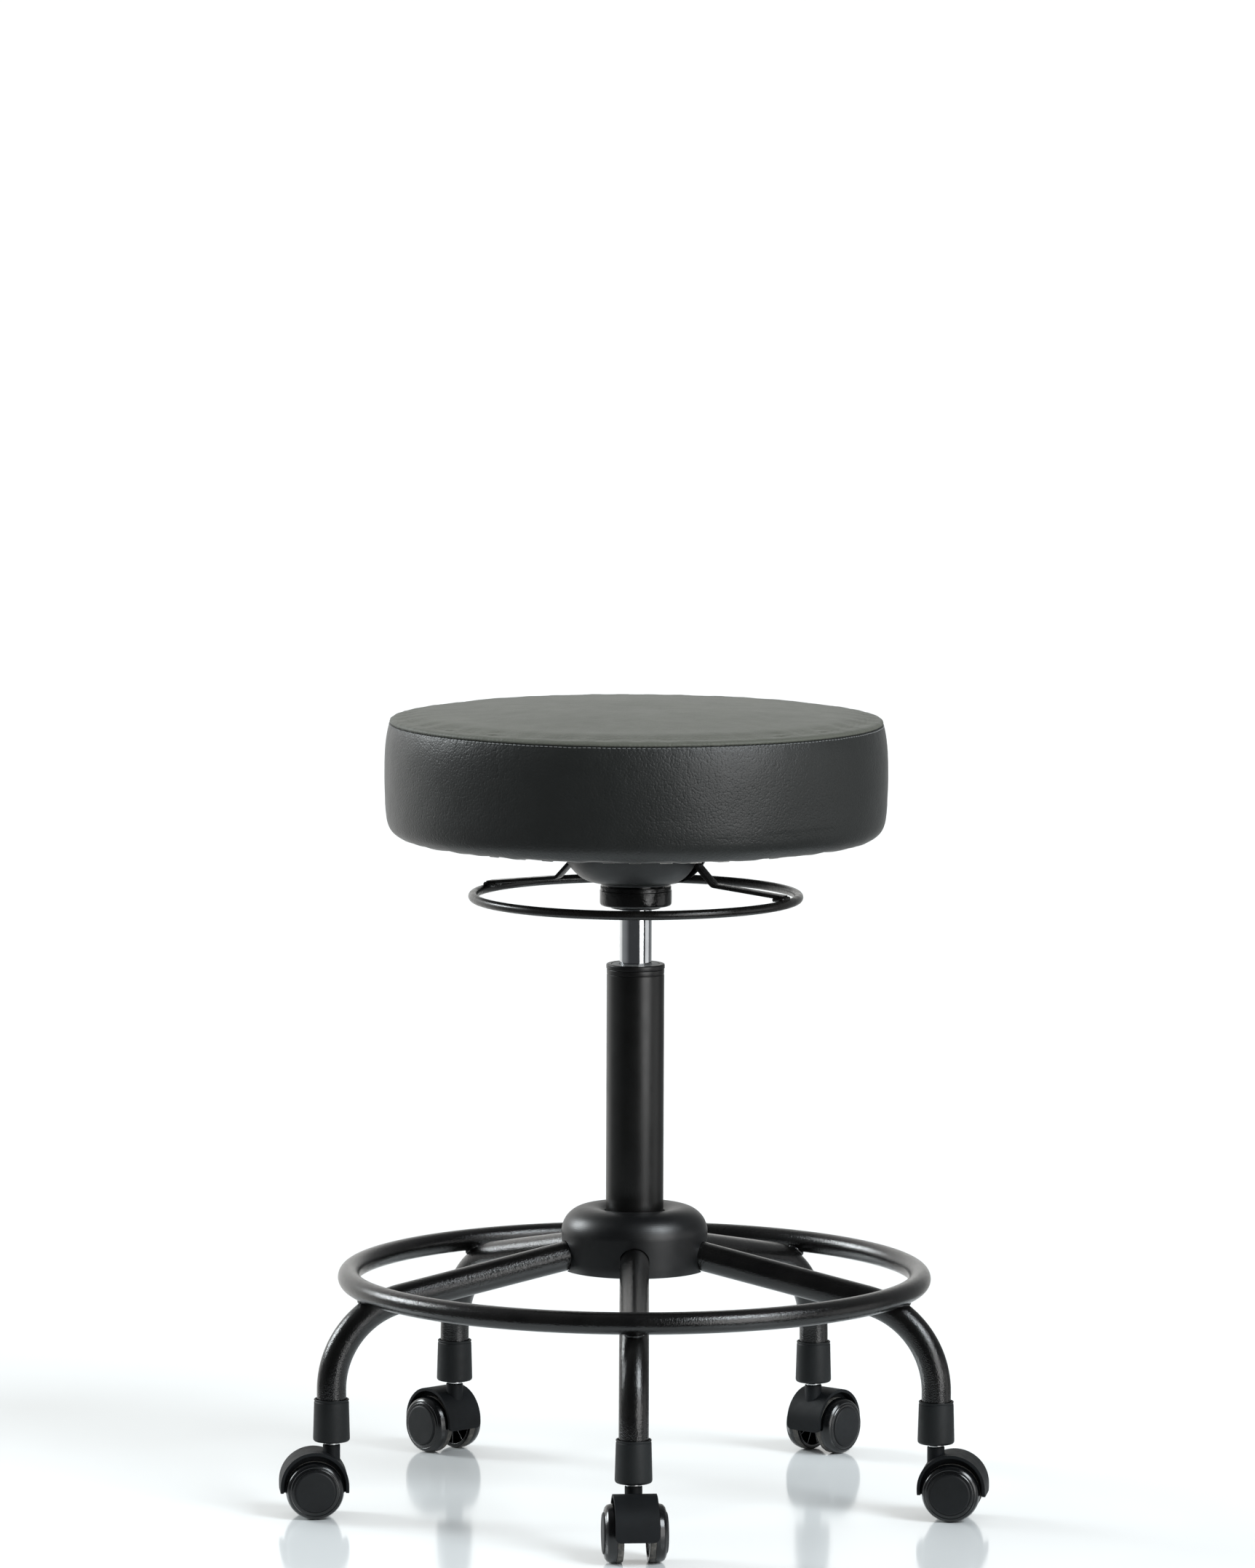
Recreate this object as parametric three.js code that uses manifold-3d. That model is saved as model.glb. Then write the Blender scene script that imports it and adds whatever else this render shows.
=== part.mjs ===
// Adjustable swivel stool: a round padded seat on a gas lift with a ring-shaped release lever, a base of five
// bent tubes with a foot ring, and five twin-wheel casters. Millimetres, +Z up, floor at z = 0, front at -Y.

import * as THREE from "three";
import { mergeVertices } from "three/addons/utils/BufferGeometryUtils.js";
import Module from "manifold-3d";

const wasm = await Module();
wasm.setup();

// ---- Driving dimensions -------------------------------------------------------------------------------

const GAP = 0.3; // left between pieces that touch
const COLUMN_Y = 26; // the column's axis, behind the middle of the bounding box

const SIDES = ["front", "front_right", "back_right", "back_left", "front_left"];
const FRONT_AZIMUTH = -90; // degrees from +X
const LEG_SPACING = 360 / SIDES.length;
const CASTER_TURNS = [5, 10, -4, 7, -13]; // degrees each caster trails off its leg's outward direction

const LEG_RADIUS = 12.7;
const LEG_BORE = 11.2;
const LEG_CIRCLE = 274;
const LEG_SLOPE = 11.5; // degrees down and outwards
const LEG_BEND_RADIUS = 78;
const LEG_BEND_Z = 110;
const LEG_INNER_END = 33.2;
const LEG_BEND_STEPS = 6;

const FOOT_RING_CIRCLE = 248.5;
const FOOT_RING_Z = 196;
const FOOT_RING_TUBE = 9.525;
const FOOT_RING_BORE = 7.6;
const FOOT_RING_VENT = 1.5;

const COLUMN_RADIUS = 25;
const COLUMN_BORE = 23.2;
const COLUMN_BOTTOM = 204.5;
const COLUMN_TOP = 466;
const COLUMN_FLOOR = 3.5;
const HUB_RADIUS = 30.2;
const HUB_TOP = 246;
const HUB_COVER_WALL = 2;
const HUB_COVER_BOTTOM = 203.5;
const HUB_COVER_SKIRT = 62.8;
const HUB_BULGE_RADIUS = 41; // middle of the bulge's section
const HUB_BULGE_Z = 236;
const HUB_BULGE_WIDTH = 22.5;
const HUB_BULGE_HEIGHT = 22;
const HUB_DIP_Z = 254;
const HUB_DIP_CLEARANCE = 1.5;
const HUB_SLOT_RADIUS = 13.3;
const HUB_SLOT_TOP = 233;
const BUSH_LENGTH = 78;
const BUSH_FLANGE = 4.2;

const ROD_RADIUS = 5;
const ROD_BOTTOM = 196;
const PISTON_BOTTOM = 404;
const PISTON_HEIGHT = 20;
const CYLINDER_RADIUS = 14;
const CYLINDER_BORE = 12.2;
const CYLINDER_BOTTOM = 222;
const CYLINDER_END = 8;
const CYLINDER_TOP = 551;
const TAPER_START = 519;
const TAPER_TOP_RADIUS = 13.3;
const BUTTON_RADIUS = 3.2;
const BUTTON_HEAD_RADIUS = 4.5;
const BUTTON_PLAY = 0.8; // between the button and the bar above it

const CUP_RADIUS = 31.25;
const CUP_BOTTOM = 519;
const CUP_TOP = 538.5;
const CUP_ROUND = 4;
const SOCKET_RADIUS = 24;
const SOCKET_BORE = 18;
const DOME_BOTTOM = 540;
const DOME_WALL = 2;
const DOME_RIM_RADIUS = 66;
const DOME_WINDOW = [543.5, 574];
const SOCKET_WINDOW = [553.5, 565.6];

const RELEASE_TURN = -23.5; // degrees from +X to the crossbar's near end
const RELEASE_RING_CIRCLE = 141.2;
const RELEASE_RING_Z = 529;
const RELEASE_ROD = 4;
const BAR_WIDTH = 13;
const BAR_THICKNESS = 3;
const BAR_CLEARANCE = 3;
const BAR_Z = 561; // underside of its middle
const BAR_LEVEL_END = 55;
const BAR_BEND = 74;
const BAR_BEND_Z = 540.5;

const SEAT_RADIUS = 217.7;
const SEAT_BOTTOM = 580;
const SEAT_BOTTOM_ROUND = 20;
const SEAT_WRAP_RADIUS = 178;
const BAND_TAPER_Z = 662; // where the band starts to lean in to the seam
const SEAM_RADIUS = 214;
const SEAM_Z = 681.5;
const SHOULDER_RADIUS = 190;
const SHOULDER_Z = 686.5;
const CROWN_Z = 694;
const VINYL = 0.9;
const SEAT_SIDES = 36;
const BOARD_THICKNESS = 12;
const PLATE_SIDE = 150;
const PLATE_THICKNESS = 3;
const PLATE_CORNER = 12;
const BOLT_SQUARE = 110;
const BOLT_RADIUS = 3;
const BOLT_HOLE = 3.5;

const SLEEVE_BOTTOM = 65;
const SLEEVE_TOP = 102;
const SLEEVE_FLOOR = 5.2;
const SLEEVE_FOOT_RADIUS = 16;
const SLEEVE_TOP_RADIUS = 14.9;
const SLEEVE_ROUND = 2.8;
const STEM_RADIUS = 5.5;
const STEM_BOTTOM = 34.5;
const STEM_TOP = 96;
const TRAIL = 15;
const WHEEL_RADIUS = 25;
const WHEEL_FACETS = 24;
const WHEEL_INNER = 10.75;
const WHEEL_OUTER = 27.4;
const WHEEL_SHOULDER = 23.5;
const WHEEL_FACE_RADIUS = 21.5;
const AXLE_RADIUS = 4;
const AXLE_HALF = 20;
const HOOD_RADIUS = 29.5;
const HOOD_Z = 28.3; // middle of the hood's arch
const HOOD_BOTTOM = 21.8;
const HOOD_WALL = 2.7;
const HOOD_HALF_WIDTH = 18.5;
const WEB_HALF_WIDTH = 9.5;
const AXLE_BOSS_RADIUS = 8;
const BOSS_RADIUS = 7.5;
const BOSS_TOP = 62.2;

// ---- Materials ----------------------------------------------------------------------------------------

const paint = (color, roughness, metalness) =>
  new THREE.MeshStandardMaterial({ color, roughness, metalness });

const hammertone = paint(0x1c1c1c, 0.35, 0.5);
const blackSteel = paint(0x151515, 0.3, 0.5);
const ringBlack = paint(0x1a1918, 0.4, 0.4);
const chrome = paint(0xc9ccd0, 0.1, 1);
const bareSteel = paint(0x8c8e90, 0.35, 1);
const zincPlate = paint(0x9a9a94, 0.4, 0.9);
const satinPlastic = paint(0x24262a, 0.45, 0);
const mattePlastic = paint(0x26282a, 0.7, 0);
const bushPlastic = paint(0x33332f, 0.5, 0);
const wheelNylon = paint(0x202124, 0.35, 0);
const buttonRed = paint(0x8f1f1a, 0.5, 0);
const vinyl = paint(0x3a3c39, 0.55, 0);
const vinylSide = paint(0x333635, 0.55, 0);
const foam = paint(0xd8cfa8, 0.95, 0);
const plywood = paint(0xb48a5a, 0.8, 0);
const dustCloth = paint(0x2b2b2b, 0.95, 0);

// ---- Helpers ------------------------------------------------------------------------------------------

const degrees = THREE.MathUtils.degToRad;

function named(name, geometry, material) {
  const mesh = new THREE.Mesh(geometry, material);
  mesh.name = name;
  return mesh;
}

// Points of an ellipse's arc in a profile's plane, angles in degrees.
function arc(x, y, radiusX, radiusY, from, to, steps) {
  return Array.from({ length: steps + 1 }, (_, i) => {
    const angle = degrees(from + ((to - from) * i) / steps);
    return [x + radiusX * Math.cos(angle), y + radiusY * Math.sin(angle)];
  });
}

// A solid of revolution about Z. The profile runs anticlockwise in (radius, height), from axis to axis or
// round a closed loop.
function turned(profile, sides) {
  const closed = profile[0][0] === 0 ? profile : [...profile, profile[0]];
  const points = closed.map(([radius, height]) => new THREE.Vector2(radius, height));
  return new THREE.LatheGeometry(points, sides).rotateX(Math.PI / 2);
}

const cylinder = (radius, bottom, top, sides) =>
  turned([[0, bottom], [radius, bottom], [radius, top], [0, top]], sides);

const ring = (inner, outer, bottom, top, sides) =>
  turned([[inner, bottom], [outer, bottom], [outer, top], [inner, top]], sides);

// The same path moved to its left by a distance, with mitred corners.
function inset(path, distance) {
  const heading = (a, b) => new THREE.Vector2(b[0] - a[0], b[1] - a[1]).normalize();
  return path.map((point, i) => {
    const before = heading(path[Math.max(i - 1, 0)], path[Math.max(i, 1)]);
    const after = heading(path[Math.min(i, path.length - 2)], path[Math.min(i + 1, path.length - 1)]);
    const middle = before.clone().add(after).normalize();
    const reach = distance / middle.dot(before);
    const radius = point[0] === 0 ? 0 : point[0] - middle.y * reach;
    return [radius, point[1] + middle.x * reach];
  });
}

// Profile of a skin whose outside is the path and whose inside lies to its left.
const skin = (path, wall) => [...inset(path, wall).reverse(), ...path];

// A plate cut from an outline in the XZ plane, centred on y = 0.
function plateAcrossY(shape, width) {
  const options = { depth: width, bevelEnabled: false };
  return new THREE.ExtrudeGeometry(shape, options).translate(0, 0, -width / 2).rotateX(Math.PI / 2);
}

const outline = (points) => new THREE.Shape(points.map(([x, y]) => new THREE.Vector2(x, y)));

function toSolid(geometry) {
  const bare = geometry.clone();
  bare.deleteAttribute("normal");
  bare.deleteAttribute("uv");
  const merged = mergeVertices(bare, 1e-4);
  const mesh = new wasm.Mesh({
    numProp: 3,
    vertProperties: new Float32Array(merged.attributes.position.array),
    triVerts: new Uint32Array(merged.index.array),
  });
  return new wasm.Manifold(mesh);
}

function toGeometry(solid) {
  const mesh = solid.getMesh();
  const geometry = new THREE.BufferGeometry();
  geometry.setAttribute("position", new THREE.BufferAttribute(new Float32Array(mesh.vertProperties), 3));
  geometry.setIndex(new THREE.BufferAttribute(new Uint32Array(mesh.triVerts), 1));
  geometry.computeVertexNormals();
  return geometry;
}

const cut = (geometry, ...tools) =>
  toGeometry(tools.reduce((rest, tool) => rest.subtract(toSolid(tool)), toSolid(geometry)));

const join = (geometry, ...others) =>
  toGeometry(others.reduce((sum, other) => sum.add(toSolid(other)), toSolid(geometry)));

// A path given by its stations, sampled at those stations only.
class StationPath extends THREE.Curve {
  constructor(stations) {
    super();
    this.stations = stations;
  }

  getPoint(t) {
    const place = t * (this.stations.length - 1);
    const index = Math.min(Math.floor(place), this.stations.length - 2);
    return this.stations[index].clone().lerp(this.stations[index + 1], place - index);
  }

  getPointAt(u) {
    return this.getPoint(u);
  }

  getTangentAt(u) {
    const last = this.stations.length - 1;
    const index = Math.round(u * last);
    const here = this.stations[index];
    const arriving = here.clone().sub(this.stations[Math.max(index - 1, 0)]).normalize();
    const leaving = this.stations[Math.min(index + 1, last)].clone().sub(here).normalize();
    return arriving.add(leaving).normalize();
  }
}

const circle = (radius, sides) =>
  arc(0, 0, radius, radius, 0, 360, sides).slice(1).map(([x, y]) => new THREE.Vector2(x, y));

function tubeAlong(stations, radius, bore, sides, boreSides) {
  const section = new THREE.Shape(circle(radius, sides));
  section.holes.push(new THREE.Path(circle(bore, boreSides)));
  const options = { extrudePath: new StationPath(stations), steps: stations.length - 1 };
  return new THREE.ExtrudeGeometry(section, options);
}

// ---- Base ---------------------------------------------------------------------------------------------

// Stations of a leg in the XZ plane, from its foot, round the bend and up the slope to the hub.
function legStations() {
  const bendCentre = LEG_CIRCLE - LEG_BEND_RADIUS;
  const radius = LEG_BEND_RADIUS;
  const bend = arc(bendCentre, LEG_BEND_Z, radius, radius, 0, 90 - LEG_SLOPE, LEG_BEND_STEPS);
  const [bendEnd, bendTop] = bend[bend.length - 1];
  const hubZ = bendTop + (bendEnd - LEG_INNER_END) * Math.tan(degrees(LEG_SLOPE));
  const footZ = SLEEVE_BOTTOM + SLEEVE_FLOOR + GAP;
  const stations = [[LEG_CIRCLE, footZ], ...bend, [LEG_INNER_END, hubZ]];
  return stations.map(([x, z]) => new THREE.Vector3(x, 0, z));
}

function legGeometry() {
  return tubeAlong(legStations(), LEG_RADIUS, LEG_BORE, 12, 8);
}

function footRingGeometry() {
  const outside = new THREE.TorusGeometry(FOOT_RING_CIRCLE, FOOT_RING_TUBE, 10, 40);
  const inside = new THREE.TorusGeometry(FOOT_RING_CIRCLE, FOOT_RING_BORE, 6, 40);
  const vent = cylinder(FOOT_RING_VENT, -2 * FOOT_RING_TUBE, 0, 6).translate(0, FOOT_RING_CIRCLE, 0);
  return cut(outside, inside, vent).translate(0, 0, FOOT_RING_Z);
}

// A drafted skirt, a bulge over the legs' ends and a dip to the column.
function hubCoverPath() {
  const bulge = arc(HUB_BULGE_RADIUS, HUB_BULGE_Z, HUB_BULGE_WIDTH, HUB_BULGE_HEIGHT, 0, 90, 4);
  const dip = [COLUMN_RADIUS + HUB_DIP_CLEARANCE, HUB_DIP_Z];
  return [[HUB_COVER_SKIRT, HUB_COVER_BOTTOM], ...bulge, dip];
}

// An upside-down U that clears one leg, running outwards through the cover's wall.
function legSlot(azimuth) {
  const archZ = HUB_SLOT_TOP - HUB_SLOT_RADIUS;
  const arch = arc(0, archZ, HUB_SLOT_RADIUS, HUB_SLOT_RADIUS, 0, 180, 6);
  const below = HUB_COVER_BOTTOM - 5;
  const shape = outline([[HUB_SLOT_RADIUS, below], ...arch, [-HUB_SLOT_RADIUS, below]]);
  const from = (HUB_RADIUS + HUB_COVER_SKIRT) / 2;
  return new THREE.ExtrudeGeometry(shape, { depth: from, bevelEnabled: false })
    .rotateX(Math.PI / 2)
    .translate(0, -from, 0)
    .rotateZ(degrees(azimuth - FRONT_AZIMUTH));
}

function hubCoverGeometry() {
  const slots = SIDES.map((_, i) => legSlot(FRONT_AZIMUTH + i * LEG_SPACING));
  return cut(turned(skin(hubCoverPath(), HUB_COVER_WALL), 30), ...slots);
}

function columnGeometry() {
  const floor = COLUMN_BOTTOM + COLUMN_FLOOR;
  const hole = ROD_RADIUS + 2 * GAP;
  return turned([
    [hole, COLUMN_BOTTOM], [COLUMN_RADIUS, COLUMN_BOTTOM], [COLUMN_RADIUS, COLUMN_TOP],
    [COLUMN_BORE, COLUMN_TOP], [COLUMN_BORE, floor], [hole, floor],
  ], 24);
}

function bushGeometry() {
  const bore = CYLINDER_RADIUS + 1.5 * GAP;
  const body = COLUMN_BORE - 0.5;
  const flange = COLUMN_RADIUS + 0.4;
  const seat = COLUMN_TOP + GAP;
  const top = seat + BUSH_FLANGE;
  return turned([
    [bore, top - BUSH_LENGTH], [body, top - BUSH_LENGTH], [body, seat],
    [flange, seat], [flange, top], [bore, top],
  ], 24);
}

function sleeveGeometry() {
  const bore = STEM_RADIUS + 0.7;
  const floor = SLEEVE_BOTTOM + SLEEVE_FLOOR;
  const pocket = LEG_RADIUS + 0.65;
  const plug = LEG_BORE - 1.2;
  const plugTop = SLEEVE_TOP - 4;
  const round = SLEEVE_ROUND;
  return turned([
    [bore, SLEEVE_BOTTOM],
    ...arc(SLEEVE_FOOT_RADIUS - round, SLEEVE_BOTTOM + round, round, round, -90, 0, 2),
    [SLEEVE_TOP_RADIUS, SLEEVE_TOP], [pocket, SLEEVE_TOP], [pocket, floor],
    [plug, floor], [plug, plugTop], [bore, plugTop],
  ], 12);
}

function makeBase() {
  const base = new THREE.Group();
  const hub = ring(COLUMN_RADIUS + 2 * GAP, HUB_RADIUS, COLUMN_BOTTOM, HUB_TOP, 24);
  base.add(named("hub_sleeve", hub, blackSteel));
  base.add(named("hub_cover", hubCoverGeometry(), satinPlastic));
  base.add(named("column_tube", columnGeometry(), blackSteel));
  base.add(named("guide_bush", bushGeometry(), bushPlastic));
  base.add(named("foot_ring", footRingGeometry(), hammertone));
  SIDES.forEach((side, i) => {
    const arm = new THREE.Group();
    arm.rotation.z = degrees(FRONT_AZIMUTH + i * LEG_SPACING);
    arm.add(named(`leg_${side}`, legGeometry(), hammertone));
    const sleeve = named(`leg_sleeve_${side}`, sleeveGeometry(), mattePlastic);
    sleeve.position.x = LEG_CIRCLE;
    arm.add(sleeve);
    base.add(arm);
  });
  return base;
}

// ---- Gas lift -----------------------------------------------------------------------------------------

function gasCylinderGeometry() {
  const rodHole = ROD_RADIUS + 0.7;
  const buttonHole = BUTTON_RADIUS + 2 * GAP;
  return turned([
    [rodHole, CYLINDER_BOTTOM], [CYLINDER_RADIUS, CYLINDER_BOTTOM], [CYLINDER_RADIUS, TAPER_START],
    [TAPER_TOP_RADIUS, CYLINDER_TOP], [buttonHole, CYLINDER_TOP], [buttonHole, CYLINDER_TOP - 5],
    [CYLINDER_BORE, CYLINDER_TOP - CYLINDER_END], [CYLINDER_BORE, CYLINDER_BOTTOM + CYLINDER_END],
    [rodHole, CYLINDER_BOTTOM + CYLINDER_END],
  ], 20);
}

// A spring-steel clip, open on one side, that hooks over the rod's end.
function rodClipGeometry() {
  const inner = ROD_RADIUS + GAP;
  const outer = ROD_RADIUS + 4;
  const shape = outline([...arc(0, 0, outer, outer, 30, 330, 10), ...arc(0, 0, inner, inner, 330, 30, 10)]);
  const top = COLUMN_BOTTOM - GAP;
  const options = { depth: 2, bevelEnabled: false };
  return new THREE.ExtrudeGeometry(shape, options).translate(0, 0, top - options.depth);
}

function makeRod() {
  const rod = new THREE.Group();
  const floor = COLUMN_BOTTOM + COLUMN_FLOOR + GAP;
  const bearing = ring(ROD_RADIUS + 2 * GAP, 12, floor, floor + 5, 16);
  const pistonTop = PISTON_BOTTOM + PISTON_HEIGHT;
  rod.add(named("piston_rod", cylinder(ROD_RADIUS, ROD_BOTTOM, PISTON_BOTTOM - GAP, 12), bareSteel));
  rod.add(named("gas_piston", cylinder(CYLINDER_BORE - 0.5, PISTON_BOTTOM, pistonTop, 20), zincPlate));
  rod.add(named("thrust_bearing", bearing, bareSteel));
  rod.add(named("rod_clip", rodClipGeometry(), bareSteel));
  return rod;
}

// ---- Seat ---------------------------------------------------------------------------------------------

// Box along the crossbar that clears it, between two heights, wherever the walls are.
function barWindow([low, high], reach) {
  return new THREE.BoxGeometry(2 * reach, BAR_WIDTH + 2 * BAR_CLEARANCE, high - low)
    .translate(0, 0, (low + high) / 2)
    .rotateZ(degrees(RELEASE_TURN));
}

function socketGeometry() {
  const bore = CYLINDER_RADIUS + 0.6;
  const top = SEAT_BOTTOM - PLATE_THICKNESS - GAP;
  const lip = arc(CUP_RADIUS - CUP_ROUND, CUP_BOTTOM + CUP_ROUND, CUP_ROUND, CUP_ROUND, -90, 0, 2);
  const body = turned([
    [bore, CUP_BOTTOM], ...lip, [CUP_RADIUS, CUP_TOP], [SOCKET_RADIUS, CUP_TOP], [SOCKET_RADIUS, top],
    [SOCKET_BORE, top], [SOCKET_BORE, CYLINDER_TOP + 1], [bore, CYLINDER_TOP],
  ], 24);
  return cut(body, barWindow(SOCKET_WINDOW, 2 * SOCKET_RADIUS));
}

function domeGeometry() {
  const neck = SOCKET_RADIUS + 2;
  const rimZ = SEAT_BOTTOM - PLATE_THICKNESS - GAP;
  const side = new THREE.QuadraticBezierCurve(
    new THREE.Vector2(CUP_RADIUS, DOME_BOTTOM),
    new THREE.Vector2(53, 543),
    new THREE.Vector2(DOME_RIM_RADIUS, rimZ - DOME_WALL),
  );
  const flare = side.getPoints(3).map((point) => [point.x, point.y]);
  const path = [[neck, DOME_BOTTOM], ...flare, [DOME_RIM_RADIUS, rimZ]];
  return cut(turned(skin(path, DOME_WALL), 24), barWindow(DOME_WINDOW, 2 * DOME_RIM_RADIUS));
}

// Each corner of the bolt square.
const boltPlaces = [[1, 1], [-1, 1], [-1, -1], [1, -1]].map(([x, y]) => {
  const half = BOLT_SQUARE / 2;
  return [x * half, y * half];
});

function drilled(geometry) {
  const hole = cylinder(BOLT_HOLE, SEAT_BOTTOM - 10, CROWN_Z, 8);
  const holes = boltPlaces.map(([x, y]) => hole.clone().translate(x, y, 0));
  return cut(geometry, ...holes);
}

function plateGeometry() {
  const half = PLATE_SIDE / 2;
  const near = half - PLATE_CORNER;
  const corners = [0, 90, 180, 270].flatMap((from, i) => {
    const [x, y] = [[near, near], [-near, near], [-near, -near], [near, -near]][i];
    return arc(x, y, PLATE_CORNER, PLATE_CORNER, from, from + 90, 2);
  });
  const slab = new THREE.ExtrudeGeometry(outline(corners), { depth: PLATE_THICKNESS, bevelEnabled: false });
  return drilled(slab.translate(0, 0, SEAT_BOTTOM - PLATE_THICKNESS));
}

function boltGeometry() {
  const face = SEAT_BOTTOM - PLATE_THICKNESS - GAP;
  const tip = SEAT_BOTTOM + BOARD_THICKNESS;
  const head = BOLT_RADIUS + 2.8;
  const under = face - 4;
  const shank = [[BOLT_RADIUS, face], [BOLT_RADIUS, tip], [0, tip]];
  return turned([[0, under], [head, under], [head, face], ...shank], 8);
}

function bandPath() {
  const round = SEAT_BOTTOM_ROUND;
  const edge = arc(SEAT_RADIUS - round, SEAT_BOTTOM + round, round, round, -90, 0, 3);
  const top = SEAM_Z - VINYL - GAP;
  return [[SEAT_WRAP_RADIUS, SEAT_BOTTOM], ...edge, [SEAT_RADIUS, BAND_TAPER_Z], [SEAM_RADIUS, top]];
}

// The top's surface, from the seam over the shoulder to the crown.
function crownPath() {
  const roll = arc(SHOULDER_RADIUS, SEAM_Z, SEAM_RADIUS - SHOULDER_RADIUS, SHOULDER_Z - SEAM_Z, 0, 60, 2);
  const rise = CROWN_Z - SHOULDER_Z;
  const steps = 3;
  const crown = Array.from({ length: steps + 1 }, (_, i) => {
    const radius = (SHOULDER_RADIUS * (steps - i)) / steps;
    return [radius, CROWN_Z - rise * (radius / SHOULDER_RADIUS) ** 2.2];
  });
  return [...roll, ...crown];
}

const boardBottom = SEAT_BOTTOM + VINYL + GAP;
const boardTop = boardBottom + BOARD_THICKNESS;

function foamGeometry() {
  const clearance = VINYL + GAP;
  const sideRadius = SEAT_RADIUS - clearance - 0.2;
  const top = inset(crownPath(), clearance + 0.2).slice(1);
  const side = [
    [0, boardTop + GAP], [sideRadius - 3, boardTop + GAP], [sideRadius, SEAT_BOTTOM + SEAT_BOTTOM_ROUND],
    [sideRadius, BAND_TAPER_Z], [SEAM_RADIUS - 2, SEAM_Z - 4],
  ];
  return turned([...side, ...top], SEAT_SIDES);
}

function makeSeat() {
  const seat = new THREE.Group();
  const board = cylinder(SEAT_RADIUS - SEAT_BOTTOM_ROUND, boardBottom, boardTop, SEAT_SIDES);
  const cloth = ring(SOCKET_RADIUS, SEAT_WRAP_RADIUS - 1, SEAT_BOTTOM + GAP, SEAT_BOTTOM + VINYL, 24);
  seat.add(named("gas_cylinder", gasCylinderGeometry(), chrome));
  seat.add(named("seat_socket", socketGeometry(), blackSteel));
  seat.add(named("dome_cover", domeGeometry(), mattePlastic));
  seat.add(named("mounting_plate", plateGeometry(), blackSteel));
  seat.add(named("dust_cover", drilled(cloth), dustCloth));
  seat.add(named("seat_board", drilled(board), plywood));
  seat.add(named("seat_foam", foamGeometry(), foam));
  seat.add(named("seat_side_band", turned(skin(bandPath(), VINYL), SEAT_SIDES), vinylSide));
  seat.add(named("seat_top_panel", turned(skin(crownPath(), VINYL), SEAT_SIDES), vinyl));
  boltPlaces.forEach(([x, y], i) => {
    const bolt = named(`seat_bolt_${i + 1}`, boltGeometry(), zincPlate);
    bolt.position.set(x, y, 0);
    seat.add(bolt);
  });
  return seat;
}

// ---- Height release -----------------------------------------------------------------------------------

// One strip, bent down on both sides of its level middle and carried out to the ring.
function crossbarGeometry() {
  const end = RELEASE_RING_CIRCLE - 2;
  const endZ = RELEASE_RING_Z + RELEASE_ROD + GAP;
  const half = [[BAR_LEVEL_END, BAR_Z], [BAR_BEND, BAR_BEND_Z], [end, endZ]];
  const under = [...half.map(([x, z]) => [-x, z]).reverse(), ...half];
  const over = inset(under, BAR_THICKNESS).reverse();
  return plateAcrossY(outline([...under, ...over]), BAR_WIDTH);
}

function makeRelease() {
  const release = new THREE.Group();
  release.rotation.z = degrees(RELEASE_TURN);
  const hoop = new THREE.TorusGeometry(RELEASE_RING_CIRCLE, RELEASE_ROD, 8, 36);
  hoop.translate(0, 0, RELEASE_RING_Z);
  release.add(named("release_ring", hoop, ringBlack));
  release.add(named("release_crossbar", crossbarGeometry(), ringBlack));
  return release;
}

function buttonGeometry() {
  const top = BAR_Z - BUTTON_PLAY;
  const headBottom = top - 5.5;
  return turned([
    [0, CYLINDER_TOP - 10], [BUTTON_RADIUS, CYLINDER_TOP - 10], [BUTTON_RADIUS, headBottom],
    [BUTTON_HEAD_RADIUS, headBottom], [BUTTON_HEAD_RADIUS, top], [0, top],
  ], 12);
}

// ---- Casters ------------------------------------------------------------------------------------------

// Caster shapes stand over the stem's axis and trail towards +X, with the axle along Y.
function archOver(radius) {
  const arch = arc(TRAIL, HOOD_Z, radius, radius, 0, 180, 10);
  return [[TRAIL + radius, HOOD_BOTTOM], ...arch, [TRAIL - radius, HOOD_BOTTOM]];
}

function alongAxle(radius, halfLength) {
  return cylinder(radius, -halfLength, halfLength, 12)
    .rotateX(Math.PI / 2)
    .translate(TRAIL, 0, WHEEL_RADIUS);
}

function housingGeometry() {
  const inside = archOver(HOOD_RADIUS - HOOD_WALL).reverse();
  const hood = plateAcrossY(outline([...archOver(HOOD_RADIUS), ...inside]), 2 * HOOD_HALF_WIDTH);
  const web = plateAcrossY(outline(archOver(HOOD_RADIUS - HOOD_WALL / 2)), 2 * WEB_HALF_WIDTH);
  const axleBoss = alongAxle(AXLE_BOSS_RADIUS, WEB_HALF_WIDTH);
  const stemBoss = cylinder(BOSS_RADIUS, STEM_BOTTOM, BOSS_TOP, 12);
  const stemHole = cylinder(STEM_RADIUS + 0.45, STEM_BOTTOM - GAP, BOSS_TOP + 1, 12);
  const axleHole = alongAxle(AXLE_RADIUS + 0.45, HOOD_HALF_WIDTH);
  return cut(join(hood, web, axleBoss, stemBoss), stemHole, axleHole);
}

// A wheel on the +Y side, with a blind bore and a flat of its tread facing down.
function wheelGeometry() {
  const facet = Math.PI / WHEEL_FACETS;
  const tread = WHEEL_RADIUS / Math.cos(facet);
  const bore = AXLE_RADIUS + 0.4;
  const boreEnd = AXLE_HALF + 1;
  const profile = [
    [0, boreEnd], [bore, boreEnd], [bore, WHEEL_INNER], [tread, WHEEL_INNER],
    [tread, WHEEL_SHOULDER], [WHEEL_FACE_RADIUS, WHEEL_OUTER], [0, WHEEL_OUTER],
  ];
  const points = profile.map(([radius, y]) => new THREE.Vector2(radius, y));
  return new THREE.LatheGeometry(points, WHEEL_FACETS, facet);
}

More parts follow.
